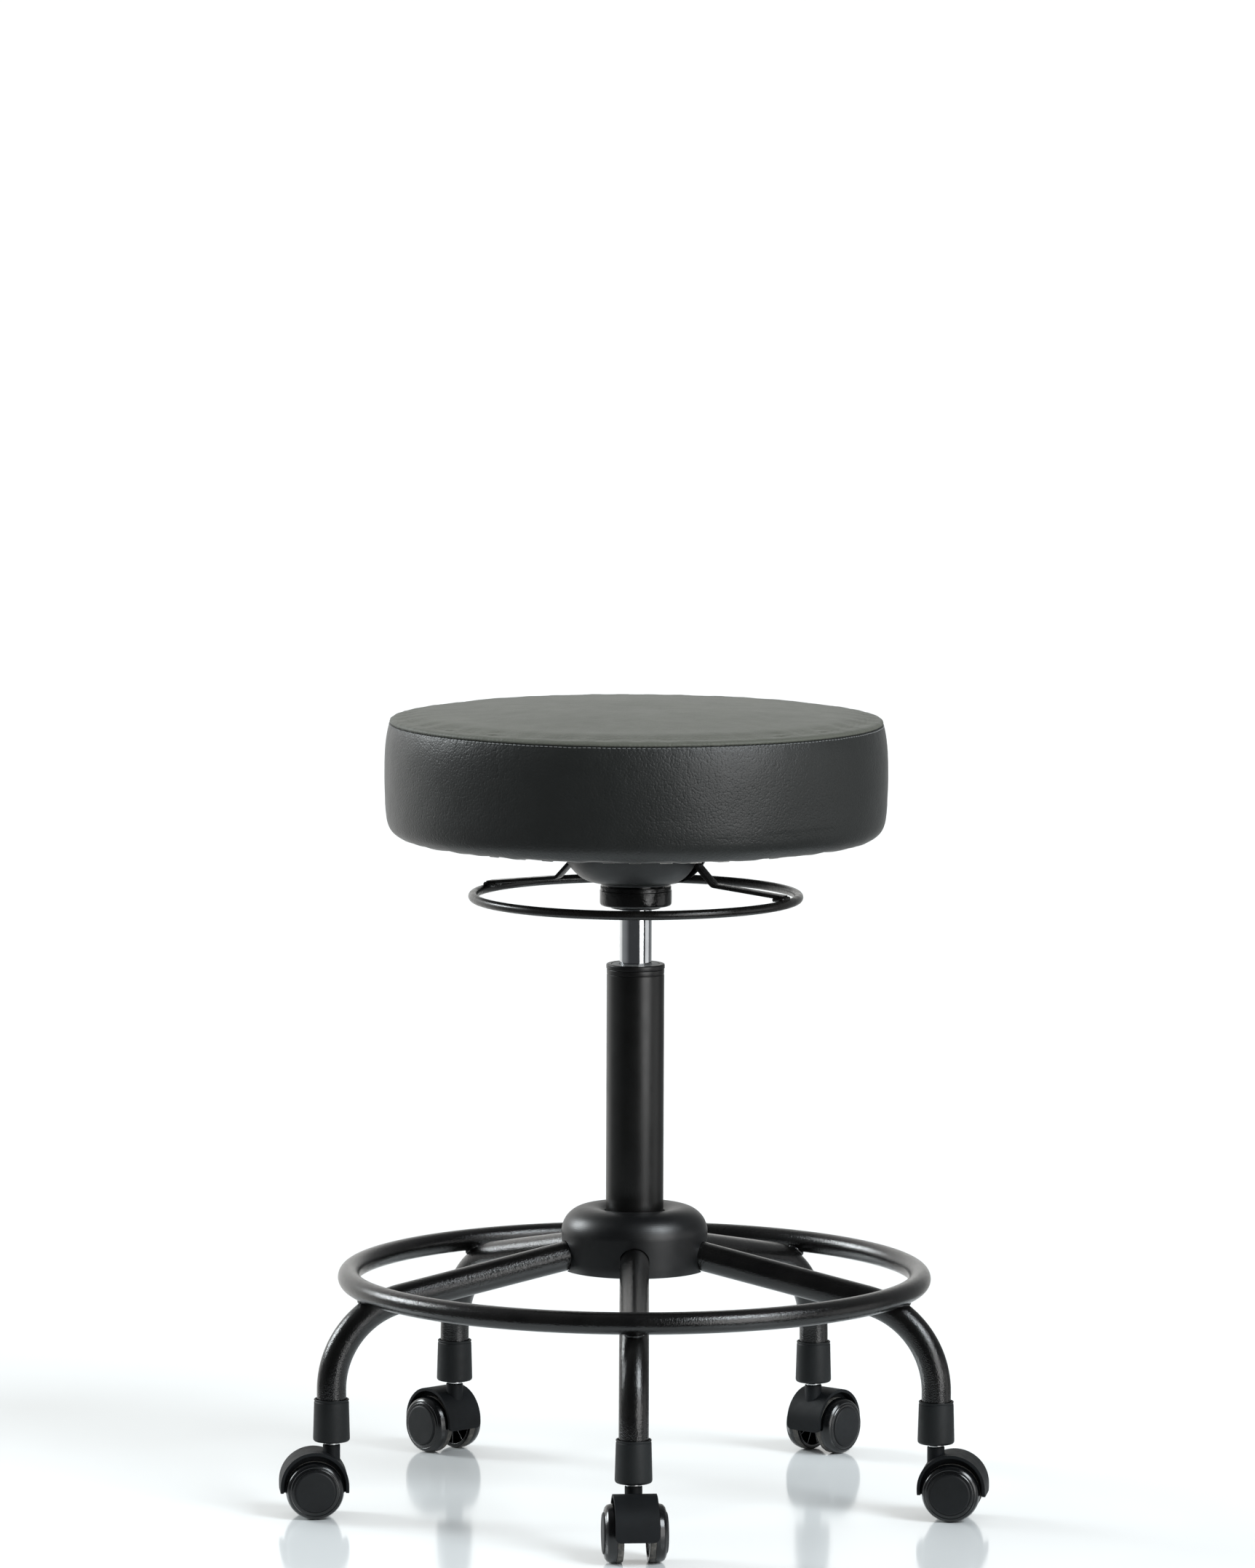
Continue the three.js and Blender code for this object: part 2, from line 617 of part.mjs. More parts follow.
function makeCaster(side) {
  const caster = new THREE.Group();
  const axle = cylinder(AXLE_RADIUS, -AXLE_HALF, AXLE_HALF, 12).rotateX(Math.PI / 2);
  caster.add(named(`caster_housing_${side}`, housingGeometry(), mattePlastic));
  caster.add(named(`caster_stem_${side}`, cylinder(STEM_RADIUS, STEM_BOTTOM, STEM_TOP, 12), bareSteel));
  caster.add(named(`caster_axle_${side}`, axle, bareSteel));
  caster.add(named(`wheel_left_${side}`, wheelGeometry(), wheelNylon));
  caster.add(named(`wheel_right_${side}`, wheelGeometry(), wheelNylon));
  const [, , axlePin, leftWheel, rightWheel] = caster.children;
  [axlePin, leftWheel, rightWheel].forEach((piece) => piece.position.set(TRAIL, 0, WHEEL_RADIUS));
  rightWheel.rotation.z = Math.PI;
  return caster;
}

function makeCasters() {
  const casters = new THREE.Group();
  SIDES.forEach((side, i) => {
    const azimuth = degrees(FRONT_AZIMUTH + i * LEG_SPACING);
    const caster = makeCaster(side);
    caster.position.set(LEG_CIRCLE * Math.cos(azimuth), LEG_CIRCLE * Math.sin(azimuth), 0);
    caster.rotation.z = azimuth + degrees(CASTER_TURNS[i]);
    casters.add(caster);
  });
  return casters;
}

// ---- Assembly -----------------------------------------------------------------------------------------

const group = new THREE.Group();
group.name = "adjustable_swivel_stool";
group.position.y = COLUMN_Y;
group.add(makeBase(), makeRod(), makeSeat(), makeRelease(), makeCasters());
group.add(named("valve_button", buttonGeometry(), buttonRed));

export default group;
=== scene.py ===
"""Looks of the adjustable swivel stool: detailed pieces for the CAD nodes, materials, light and camera."""
import math

import bpy
import numpy as np
from mathutils import Matrix, Vector, noise
from mathutils.kdtree import KDTree


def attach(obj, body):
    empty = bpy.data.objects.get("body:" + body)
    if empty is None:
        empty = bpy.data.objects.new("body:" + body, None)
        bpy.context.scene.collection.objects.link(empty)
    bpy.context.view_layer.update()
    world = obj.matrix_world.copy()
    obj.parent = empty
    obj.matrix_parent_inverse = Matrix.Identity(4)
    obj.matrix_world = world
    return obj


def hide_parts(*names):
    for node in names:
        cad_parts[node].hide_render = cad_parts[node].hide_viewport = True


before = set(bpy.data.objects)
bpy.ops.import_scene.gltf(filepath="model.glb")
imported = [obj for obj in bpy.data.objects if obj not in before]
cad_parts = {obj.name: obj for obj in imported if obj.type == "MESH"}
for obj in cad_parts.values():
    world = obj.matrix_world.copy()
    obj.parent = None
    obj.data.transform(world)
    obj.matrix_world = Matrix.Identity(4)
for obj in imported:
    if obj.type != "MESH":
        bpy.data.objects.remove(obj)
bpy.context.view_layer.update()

TAU = 2 * math.pi
MM = 0.001  # shapes are in millimetres round the column's axis; meshes are in metres
COLUMN_Y = 26
SIDES = ["front", "front_right", "back_right", "back_left", "front_left"]
CASTER_TURNS = [5, 10, -4, 7, -13]
LEG_CIRCLE = 274
LEG_RADIUS = 12.7
LEG_BORE = 11.2
LEG_SLOPE = 11.5  # degrees down and outwards
LEG_INNER_END = 30.5
TRAIL = 15
WHEEL_RADIUS = 25
COVER_WALL = 2
COLUMN_RADIUS = 25
COLUMN_BOTTOM, COLUMN_TOP = 204.5, 466
SPINDLE_RADIUS = 14
HUB_RADIUS = 30.2
RELEASE_RING = (141.2, 529, 4)  # radius, height, tube radius
RELEASE_TURN = -23.5
FOOT_RING = (248.5, 196, 9.525)  # radius, height, tube radius
STITCHES = 320


# ---- Shapes -----------------------------------------------------------------------------------------------


class Shape:
    """Points in millimetres and faces with a material number, before they become a mesh."""

    def __init__(self, points, faces, slots=None):
        self.points = np.asarray(points, float).reshape(-1, 3)
        self.faces = [tuple(face) for face in faces]
        self.slots = list(slots or [0] * len(self.faces))

    def __add__(self, other):
        base = len(self.points)
        faces = self.faces + [tuple(i + base for i in face) for face in other.faces]
        return Shape(np.vstack([self.points, other.points]), faces, self.slots + other.slots)

    def moved(self, x=0, y=0, z=0):
        return Shape(self.points + (x, y, z), self.faces, self.slots)

    def rotated(self, degrees, axis="Z"):
        matrix = np.array(Matrix.Rotation(math.radians(degrees), 3, axis))
        return Shape(self.points @ matrix.T, self.faces, self.slots)

    def painted(self, slot, test):
        """The faces whose middle passes the test take another material."""
        for i, face in enumerate(self.faces):
            if test(*self.points[list(face)].mean(axis=0)):
                self.slots[i] = slot
        return self


def band_faces(rows, closed):
    """Faces between rows of point numbers that run round; a row of one repeated point is a pole."""
    pairs = list(zip(rows, rows[1:])) + ([(rows[-1], rows[0])] if closed else [])
    faces = []
    for low, high in pairs:
        for j in range(len(low)):
            k = (j + 1) % len(low)
            corners = list(dict.fromkeys((low[j], low[k], high[k], high[j])))
            if len(corners) > 2:
                faces.append(corners)
    return faces


def turned(profile, steps, closed=False):
    """A solid of revolution. The profile runs anticlockwise in (radius, height)."""
    angles = np.arange(steps) * TAU / steps
    points, rows = [], []
    for radius, z in profile:
        if radius < 1e-6:
            rows.append([len(points)] * steps)
            points.append((0, 0, z))
        else:
            rows.append(list(range(len(points), len(points) + steps)))
            points.extend(zip(radius * np.cos(angles), radius * np.sin(angles), [z] * steps))
    return Shape(points, band_faces(rows, closed))


def swept(stations, section, up, closed=False, scales=None):
    """A section of (side, lift) points carried along stations; lift stays as near to up as it can."""
    stations = np.asarray(stations, float)
    if closed:
        heading = np.roll(stations, -1, axis=0) - np.roll(stations, 1, axis=0)
    else:
        heading = np.gradient(stations, axis=0)
    heading /= np.linalg.norm(heading, axis=1)[:, None]
    side = np.cross(up, heading)
    side /= np.linalg.norm(side, axis=1)[:, None]
    lift = np.cross(heading, side)
    scales = np.ones(len(stations)) if scales is None else np.asarray(scales)
    section = np.asarray(section, float)
    points = (
        stations[:, None, :]
        + scales[:, None, None] * section[None, :, 0, None] * side[:, None, :]
        + scales[:, None, None] * section[None, :, 1, None] * lift[:, None, :]
    )
    count = len(section)
    rows = [list(range(i * count, (i + 1) * count)) for i in range(len(stations))]
    faces = band_faces(rows, closed)
    if not closed:
        faces += [rows[0][::-1], rows[-1]]
    return Shape(points, faces)


def circle(radius, sides):
    return [(radius * math.cos(TAU * i / sides), radius * math.sin(TAU * i / sides)) for i in range(sides)]


def arc(x, y, radius_x, radius_y, start, end, steps):
    angles = [math.radians(start + (end - start) * i / steps) for i in range(steps + 1)]
    return [(x + radius_x * math.cos(a), y + radius_y * math.sin(a)) for a in angles]


def filleted(path, radius, steps=4, closed=False):
    """The path with its corners rounded. A corner may give its own radius as a third number."""
    result = []
    last = len(path) - 1
    for i, corner in enumerate(path):
        here = Vector(corner[:2])
        own = corner[2] if len(corner) > 2 else radius
        if own == 0 or (not closed and i in (0, last)):
            result.append(tuple(here))
            continue
        before = Vector(path[i - 1][:2]) - here
        after = Vector(path[(i + 1) % len(path)][:2]) - here
        reach = own / math.tan(before.angle(after) / 2)
        reach = min(reach, 0.48 * before.length, 0.48 * after.length)
        start = here + before.normalized() * reach
        end = here + after.normalized() * reach
        for k in range(steps + 1):
            t = k / steps
            result.append(tuple(start * (1 - t) ** 2 + here * 2 * t * (1 - t) + end * t * t))
    return result


def flowing(points, spacing):
    """A smooth curve through the points, sampled about this far apart in each span."""
    points = np.asarray(points, float)
    spans = np.linalg.norm(np.diff(points, axis=0), axis=1)
    times = np.concatenate([[0], np.cumsum(spans)])
    slopes = np.gradient(points, times, axis=0)
    result = []
    for i, span in enumerate(spans):
        count = max(2, math.ceil(span / spacing(points[i]) if callable(spacing) else span / spacing))
        for k in range(count):
            t = k / count
            h = [2 * t**3 - 3 * t**2 + 1, t**3 - 2 * t**2 + t, -2 * t**3 + 3 * t**2, t**3 - t**2]
            place = h[0] * points[i] + h[1] * span * slopes[i]
            result.append(tuple(place + h[2] * points[i + 1] + h[3] * span * slopes[i + 1]))
    return result + [tuple(points[-1])]


def offset(path, distance):
    """The path moved to its left."""
    path = np.asarray(path, float)
    heading = np.gradient(path, axis=0)
    heading /= np.linalg.norm(heading, axis=1)[:, None]
    return [tuple(p) for p in path + distance * np.stack([-heading[:, 1], heading[:, 0]], axis=1)]


def rounded_box(half_x, half_y, radius, steps=4):
    corners = [(half_x, -half_y), (half_x, half_y), (-half_x, half_y), (-half_x, -half_y)]
    return filleted(corners, radius, steps, closed=True)


def slab(outline, bottom, top):
    """An outline in the XY plane, anticlockwise, made solid between two heights."""
    count = len(outline)
    points = [(x, y, bottom) for x, y in outline] + [(x, y, top) for x, y in outline]
    rows = [list(range(count)), list(range(count, 2 * count))]
    return Shape(points, band_faces(rows, False) + [rows[0][::-1], rows[1]])


def bead(stations, radius, up, seed, closed=True):
    """A weld bead: a lumpy rope along its stations."""
    scales = [
        1 + 0.35 * noise.noise(Vector(p) * 0.35 + Vector((seed, 0, 0))) + 0.1 * math.sin(2.1 * i)
        for i, p in enumerate(stations)
    ]
    if not closed:
        scales[0] = scales[-1] = 0.35
    return swept(stations, circle(radius, 10), up, closed, scales)


# ---- Objects ----------------------------------------------------------------------------------------------


def thing(name, shape, *materials, sharp=35):
    """The shape as an object with smooth faces and sharp edges past an angle."""
    mesh = bpy.data.meshes.new(name)
    mesh.from_pydata((shape.points * MM).tolist(), [], shape.faces)
    for material in materials:
        mesh.materials.append(material)
    mesh.polygons.foreach_set("material_index", shape.slots)
    mesh.shade_smooth()
    mesh.set_sharp_from_angle(angle=math.radians(sharp))
    mesh.update()
    obj = bpy.data.objects.new(name, mesh)
    bpy.context.scene.collection.objects.link(obj)
    return obj


def settle(obj):
    """Applies the object's modifiers."""
    graph = bpy.context.evaluated_depsgraph_get()
    mesh = bpy.data.meshes.new_from_object(obj.evaluated_get(graph))
    spare = obj.data
    obj.modifiers.clear()
    obj.data = mesh
    bpy.data.meshes.remove(spare)
    return obj


def carve(obj, *tools, sharp=35):
    """Cuts the tool shapes out of the object."""
    cutters = [thing(f"tool_{i}", tool) for i, tool in enumerate(tools)]
    for cutter in cutters:
        cut = obj.modifiers.new("cut", "BOOLEAN")
        cut.operation = "DIFFERENCE"
        cut.solver = "EXACT"
        cut.object = cutter
    settle(obj)
    for cutter in cutters:
        bpy.data.meshes.remove(cutter.data)
    obj.data.shade_smooth()
    obj.data.set_sharp_from_angle(angle=math.radians(sharp))
    return obj


def ease(obj, width, segments=3, angle=35):
    """Rounds the edges past an angle."""
    bevel = obj.modifiers.new("edges", "BEVEL")
    bevel.width = width * MM
    bevel.segments = segments
    bevel.limit_method = "ANGLE"
    bevel.angle_limit = math.radians(angle)
    settle(obj)
    obj.data.shade_smooth()
    obj.data.set_sharp_from_angle(angle=math.radians(50))
    return obj


def stand(obj, body, slot, *nodes, place=Matrix()):
    """Puts the finished object in the row frame, in place of its CAD nodes, on its body."""
    obj.data.transform(Matrix.Translation((0, COLUMN_Y * MM, 0)) @ place)
    obj.data.update()
    if nodes:
        obj.name = nodes[0] + "_look"
    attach(obj, body)
    if nodes:
        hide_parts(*nodes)
    return obj


def twin(obj, name):
    copy = bpy.data.objects.new(name, obj.data.copy())
    bpy.context.scene.collection.objects.link(copy)
    return copy


def drop(*objs):
    for obj in objs:
        bpy.data.meshes.remove(obj.data)


def spin(degrees):
    return Matrix.Rotation(math.radians(degrees), 4, "Z")


def arm_azimuth(i):
    return -90 + 72 * i


def caster_place(i):
    """From a caster's own frame, with its stem at the origin, to the column's."""
    move = Matrix.Translation((LEG_CIRCLE * MM, 0, 0))
    return spin(arm_azimuth(i)) @ move @ spin(CASTER_TURNS[i])


# ---- Materials --------------------------------------------------------------------------------------------


def set_stops(node, stops):
    """Stops of a colour ramp are (position, colour or grey)."""
    elements = node.color_ramp.elements
    while len(elements) < len(stops):
        elements.new(0.5)
    for element, (position, shade) in zip(elements, stops):
        element.position = position
        element.color = (*shade, 1) if isinstance(shade, tuple) else (shade, shade, shade, 1)


class Paint:
    """A material on the Principled shader, with object coordinates to hang its textures on."""

    def __init__(self, name, color, roughness, **sockets):
        self.material = bpy.data.materials.new(name)
        self.material.use_nodes = True
        self.tree = self.material.node_tree
        self.shader = self.tree.nodes["Principled BSDF"]
        self.shader.inputs["Base Color"].default_value = (*color, 1)
        self.shader.inputs["Roughness"].default_value = roughness
        for key, value in sockets.items():
            self.shader.inputs[key.replace("_", " ")].default_value = value
        self.place = self.node("TexCoord").outputs["Object"]
        self.height = None

    def node(self, kind):
        return self.tree.nodes.new("ShaderNode" + kind)

    def link(self, start, end):
        self.tree.links.new(start, end)
        return start

    def stretched(self, x, y, z):
        mapping = self.node("Mapping")
        mapping.inputs["Scale"].default_value = (x, y, z)
        self.link(self.place, mapping.inputs["Vector"])
        return mapping.outputs["Vector"]

    def noise(self, scale, detail=2, rough=0.5, place=None):
        tex = self.node("TexNoise")
        tex.inputs["Scale"].default_value = scale
        tex.inputs["Detail"].default_value = detail
        tex.inputs["Roughness"].default_value = rough
        self.link(place or self.place, tex.inputs["Vector"])
        return tex.outputs["Fac"]

    def cells(self, scale, feature="F1", smooth=0.0, place=None):
        tex = self.node("TexVoronoi")
        tex.feature = feature
        tex.inputs["Scale"].default_value = scale
        if feature == "SMOOTH_F1":
            tex.inputs["Smoothness"].default_value = smooth
        self.link(place or self.place, tex.inputs["Vector"])
        return tex.outputs["Distance"]

    def ramp(self, value, *stops):
        node = self.node("ValToRGB")
        set_stops(node, stops)
        self.link(value, node.inputs["Fac"])
        return node.outputs["Color"]

    def color(self, value, *stops):
        self.link(self.ramp(value, *stops), self.shader.inputs["Base Color"])
        return self

    def roughness(self, value, low, high):
        self.link(self.ramp(value, (0.3, low), (0.7, high)), self.shader.inputs["Roughness"])
        return self

    def bump(self, value, depth, strength=1.0):
        """Adds relief of this depth in millimetres over what there is."""
        node = self.node("Bump")
        node.inputs["Distance"].default_value = depth * MM
        node.inputs["Strength"].default_value = strength
        self.link(value, node.inputs["Height"])
        if self.height:
            self.link(self.height, node.inputs["Normal"])
        self.height = self.link(node.outputs["Normal"], self.shader.inputs["Normal"])
        return self

    def specks(self, scale, size, shade):
        """Small light specks over a dark colour, where cells' middles lie."""
        dots = self.cells(scale)
        mask = self.ramp(dots, (0, 1.0), (size, 0.0))
        mix = self.node("Mix")
        mix.data_type = "RGBA"
        base = self.shader.inputs["Base Color"]
        if base.is_linked:
            self.link(base.links[0].from_socket, mix.inputs[6])
        else:
            mix.inputs[6].default_value = base.default_value
        mix.inputs[7].default_value = (*shade, 1)
        self.link(mask, mix.inputs[0])
        self.link(mix.outputs[2], base)
        return self


def hammertone():
    """Glossy black powder coat with a wrinkled, hammered relief."""
    paint = Paint("hammertone_black", (0.003, 0.003, 0.003), 0.2)
    lumps = paint.ramp(paint.cells(880, "SMOOTH_F1", 0.3), (0.05, 1.0), (0.75, 0.0))
    paint.bump(paint.noise(330, 2), 0.12).bump(lumps, 0.1)
    paint.color(paint.noise(38, 3), (0.35, (0.0018, 0.0018, 0.0018)), (0.7, (0.005, 0.0048, 0.0045)))
    paint.roughness(paint.noise(500, 2), 0.17, 0.25)
    return paint.material


def black_steel():
    """Satin black powder coat."""
    paint = Paint("black_steel", (0.002, 0.002, 0.0019), 0.34)
    paint.color(paint.noise(25, 4), (0.3, (0.0015, 0.0015, 0.0014)), (0.75, (0.004, 0.004, 0.0035)))
    paint.roughness(paint.noise(60, 3), 0.31, 0.38)
    paint.bump(paint.noise(1400, 2), 0.03)
    return paint.specks(330, 0.05, (0.05, 0.05, 0.05)).material


def cast_black():
    """Thick glossy black coat with orange peel."""
    paint = Paint("cast_black", (0.002, 0.002, 0.0018), 0.14)
    paint.bump(paint.noise(260, 2), 0.3).bump(paint.noise(800, 1), 0.04)
    paint.color(paint.noise(60, 3), (0.3, (0.0012, 0.0012, 0.0011)), (0.8, (0.0035, 0.0034, 0.003)))
    return paint.roughness(paint.noise(120, 3), 0.1, 0.24).material


def ring_black():
    """Semi-gloss black coat of the release ring."""
    paint = Paint("ring_black", (0.004, 0.0037, 0.0035), 0.27)
    paint.bump(paint.noise(620, 2), 0.1)
    paint.color(paint.noise(40, 4), (0.3, (0.0025, 0.0023, 0.002)), (0.75, (0.007, 0.0063, 0.0055)))
    return paint.roughness(paint.noise(180, 3), 0.2, 0.38).material


def metal(name, color, low, high, grain, across=1.0):
    """Bare or plated metal with fine marks, longer along Z where across is above 1."""
    paint = Paint(name, color, (low + high) / 2, Metallic=1.0)
    marks = paint.noise(grain, 4, 0.6, paint.stretched(across, across, 1 / across))
    dark = tuple(0.82 * c for c in color)
    paint.color(paint.noise(30, 3), (0.3, dark), (0.7, color))
    paint.roughness(marks, low, high)
    return paint.bump(marks, 0.01).material


def plastic(name, color, low, high, grain, depth, speck=None, gloss=0.5):
    """Moulded plastic with a spark-eroded grain."""
    paint = Paint(name, color, (low + high) / 2, Specular_IOR_Level=gloss)
    dark = tuple(0.7 * c for c in color)
    light = tuple(1.35 * c for c in color)
    paint.color(paint.noise(45, 4), (0.3, dark), (0.72, light))
    paint.roughness(paint.noise(150, 3), low, high)
    paint.bump(paint.noise(grain, 3, 0.6), depth)
    if speck:
        paint.specks(speck, 0.06, (0.07, 0.07, 0.07))
    return paint.material


def tread_rubber():
    """Dull tread, scuffed grey-brown by floors."""
    paint = Paint("tread_scuffed", (0.06, 0.055, 0.05), 0.72)
    scuffs = paint.noise(240, 5, 0.65)
    grey, brown, worn = (0.028, 0.027, 0.026), (0.075, 0.07, 0.062), (0.16, 0.15, 0.135)
    paint.color(scuffs, (0.34, grey), (0.55, brown), (0.75, worn))
    return paint.bump(scuffs, 0.08).roughness(scuffs, 0.6, 0.85).material


def vinyl(name, shade, low, high, gloss):
    """Leathercloth: pebbles of one to two millimetres with finer pores and faint creases."""
    dark = tuple(0.92 * c for c in shade)
    light = tuple(1.08 * c for c in shade)
    paint = Paint(name, shade, low, Sheen_Weight=0.05, Sheen_Roughness=0.4, Specular_IOR_Level=gloss)
    pebbles = paint.cells(560, "F1")
    paint.color(paint.noise(18, 4, 0.6), (0.3, dark), (0.7, light))
    paint.bump(paint.ramp(pebbles, (0.0, 1.0), (0.55, 0.75), (0.95, 0.0)), 0.17)
    paint.bump(paint.noise(2200, 2), 0.025)
    paint.bump(paint.noise(140, 3), 0.16)
    paint.roughness(paint.noise(70, 3), low, high)
    return paint.material


def thread():
    """Twisted polyester thread."""
    paint = Paint("thread", (0.11, 0.115, 0.115), 0.6, Sheen_Weight=0.3)
    twist = paint.noise(2600, 1)
    paint.color(twist, (0.35, (0.06, 0.062, 0.062)), (0.65, (0.2, 0.205, 0.205)))
    return paint.bump(twist, 0.06).material


def dust_cloth():
    """Spun-bonded black cloth with its embossed points."""
    paint = Paint("dust_cloth", (0.02, 0.02, 0.02), 0.9, Sheen_Weight=0.15)
    paint.color(paint.noise(900, 4, 0.7), (0.35, (0.012, 0.012, 0.012)), (0.7, (0.045, 0.045, 0.045)))
    points = paint.cells(520)
    return paint.bump(points, 0.12).bump(paint.noise(1800, 3), 0.05).roughness(points, 0.82, 0.98).material


def foam():
    """Open-cell cushion foam."""
    paint = Paint("foam", (0.6, 0.52, 0.3), 0.95, Subsurface_Weight=0.1)
    pores = paint.cells(900)
    paint.color(pores, (0.1, (0.62, 0.54, 0.33)), (0.6, (0.42, 0.36, 0.2)))
    return paint.bump(pores, 0.35).roughness(paint.noise(60), 0.88, 0.98).material


def plywood():
    """Seat board: veneer with its grain along X."""
    paint = Paint("plywood", (0.42, 0.28, 0.15), 0.75)
    grain = paint.noise(40, 5, 0.6, paint.stretched(1, 14, 30))
    paint.color(grain, (0.3, (0.3, 0.18, 0.09)), (0.7, (0.52, 0.36, 0.2)))
    return paint.bump(grain, 0.1).roughness(grain, 0.65, 0.85).material


HAMMERTONE = hammertone()
BLACK_STEEL = black_steel()
CAST_BLACK = cast_black()
RING_BLACK = ring_black()
CHROME = metal("chrome", (0.78, 0.8, 0.82), 0.05, 0.12, 900, 2.0)
BARE_STEEL = metal("bare_steel", (0.5, 0.5, 0.5), 0.25, 0.4, 1200)
ZINC = metal("zinc_plate", (0.6, 0.6, 0.57), 0.3, 0.5, 700)
COVER_PLASTIC = plastic("cover_plastic", (0.0012, 0.0014, 0.0018), 0.37, 0.41, 1500, 0.03)
DOME_PLASTIC = plastic("dome_plastic", (0.003, 0.0034, 0.0037), 0.36, 0.42, 900, 0.12, gloss=0.5)
SLEEVE_PLASTIC = plastic("sleeve_plastic", (0.0035, 0.0045, 0.005), 0.5, 0.58, 1500, 0.05, gloss=0.3)
HOOD_PLASTIC = plastic("hood_plastic", (0.0035, 0.0045, 0.0055), 0.55, 0.64, 1500, 0.06, 330, 0.2)
CAP_PLASTIC = plastic("cap_plastic", (0.004, 0.0048, 0.0056), 0.5, 0.58, 1400, 0.05, 300, 0.3)
BUSH_PLASTIC = plastic("bush_plastic", (0.003, 0.003, 0.003), 0.32, 0.4, 1400, 0.02)
LINER_PLASTIC = plastic("liner_plastic", (0.3, 0.31, 0.31), 0.4, 0.55, 900, 0.03)
WHEEL_NYLON = plastic("wheel_nylon", (0.0025, 0.0028, 0.0032), 0.16, 0.24, 1200, 0.014, 260)
BUTTON_RED = plastic("button_red", (0.3, 0.02, 0.015), 0.4, 0.5, 1200, 0.02)
TREAD = tread_rubber()
# The top panel and the side band are one black vinyl. The top's base colour is about eight times lighter than
# the side's and slightly olive: painted light for the light that falls on the top.
VINYL_TOP_PAINTED_LIGHT = vinyl("vinyl_top", (0.082, 0.085, 0.07), 0.52, 0.57, 0.3)
VINYL_SIDE = vinyl("vinyl_side", (0.0095, 0.0106, 0.0098), 0.4, 0.45, 0.5)
THREAD = thread()
DUST_CLOTH = dust_cloth()
FOAM = foam()
PLYWOOD = plywood()


# ---- Base -------------------------------------------------------------------------------------------------


def leg_line():
    """The leg's centreline in its own XZ plane, from the foot to the hub."""
    radius = 78
    bend = arc(LEG_CIRCLE - radius, 110, radius, radius, 0, 90 - LEG_SLOPE, 26)
    end = Vector(bend[-1])
    hub = Vector((LEG_INNER_END, end.y + (end.x - LEG_INNER_END) * math.tan(math.radians(LEG_SLOPE))))
    slope = [tuple(end.lerp(hub, t / 12)) for t in range(1, 13)]
    return [(LEG_CIRCLE, 70.5)] + [(LEG_CIRCLE, z) for z in (80, 90, 100)] + bend + slope


def make_legs():
    stations = [(x, 0, z) for x, z in leg_line()]
    leg = thing("leg", swept(stations, circle(LEG_RADIUS, 40), (0, 1, 0)), HAMMERTONE)
    carve(leg, swept([(LEG_CIRCLE, 0, z) for z in (60, 80, 100.5)], circle(LEG_BORE, 40), (0, 1, 0)))
    hub_z = leg_line()[-1][1]
    seam = []
    for y, z in circle(LEG_RADIUS + 0.2, 40):
        seam.append((math.sqrt(HUB_RADIUS**2 - y * y) + 1.2, y, hub_z - 0.2 + z))
    contact = Vector((243.3, 0, 187.4))
    along, across = Vector((-0.853, 0, 0.521)), Vector((0, 1, 0))
    out = Vector((0.521, 0, 0.853))
    for i, side in enumerate(SIDES):
        place = spin(arm_azimuth(i))
        stand(twin(leg, f"leg_{side}"), "base", "hammertone", f"leg_{side}", place=place)
        loop = []
        for a, b in arc(0, 0, 5.4, 6.8, 0, 360, 36)[:-1]:
            height = a * a / (4 * FOOT_RING[2]) - b * b / (4 * LEG_RADIUS)
            loop.append(tuple(contact + along * a + across * b + out * height))
        weld = bead(loop, 2.1, tuple(out), 3.7 * i) + bead(seam, 2.6, (1, 0, 0), 5.3 * i + 1)
        stand(thing(f"leg_welds_{side}", weld, HAMMERTONE), "base", "hammertone", place=place)
    drop(leg)


def make_sleeves():
    profile = filleted(
        [
            (6.2, 65, 0.4), (16, 65, 2.8), (15.05, 99.4, 0.2), (14.55, 99.9, 0.15), (14.6, 100.5, 0.2),
            (15.1, 100.9, 0.5), (15.0, 102, 0.8), (13.35, 102, 0.7), (13.35, 70.2, 0), (10, 70.2, 0),
            (10, 98, 0), (6.2, 98, 0),
        ],
        0.4, 5, closed=True,
    )
    sleeve = thing("sleeve", turned(profile, 72, closed=True), SLEEVE_PLASTIC)
    for i, side in enumerate(SIDES):
        place = spin(arm_azimuth(i)) @ Matrix.Translation((LEG_CIRCLE * MM, 0, 0))
        name = f"leg_sleeve_{side}"
        stand(twin(sleeve, name), "base", "matte_plastic", name, place=place)
    drop(sleeve)


def hoop(name, ring, sides, steps, material):
    radius, height, tube = ring
    section = [(radius + x, height + z) for x, z in circle(tube, sides)]
    return thing(name, turned(section, steps, closed=True), material)


def make_foot_ring():
    stand(hoop("foot_ring", FOOT_RING, 36, 360, HAMMERTONE), "base", "hammertone", "foot_ring")


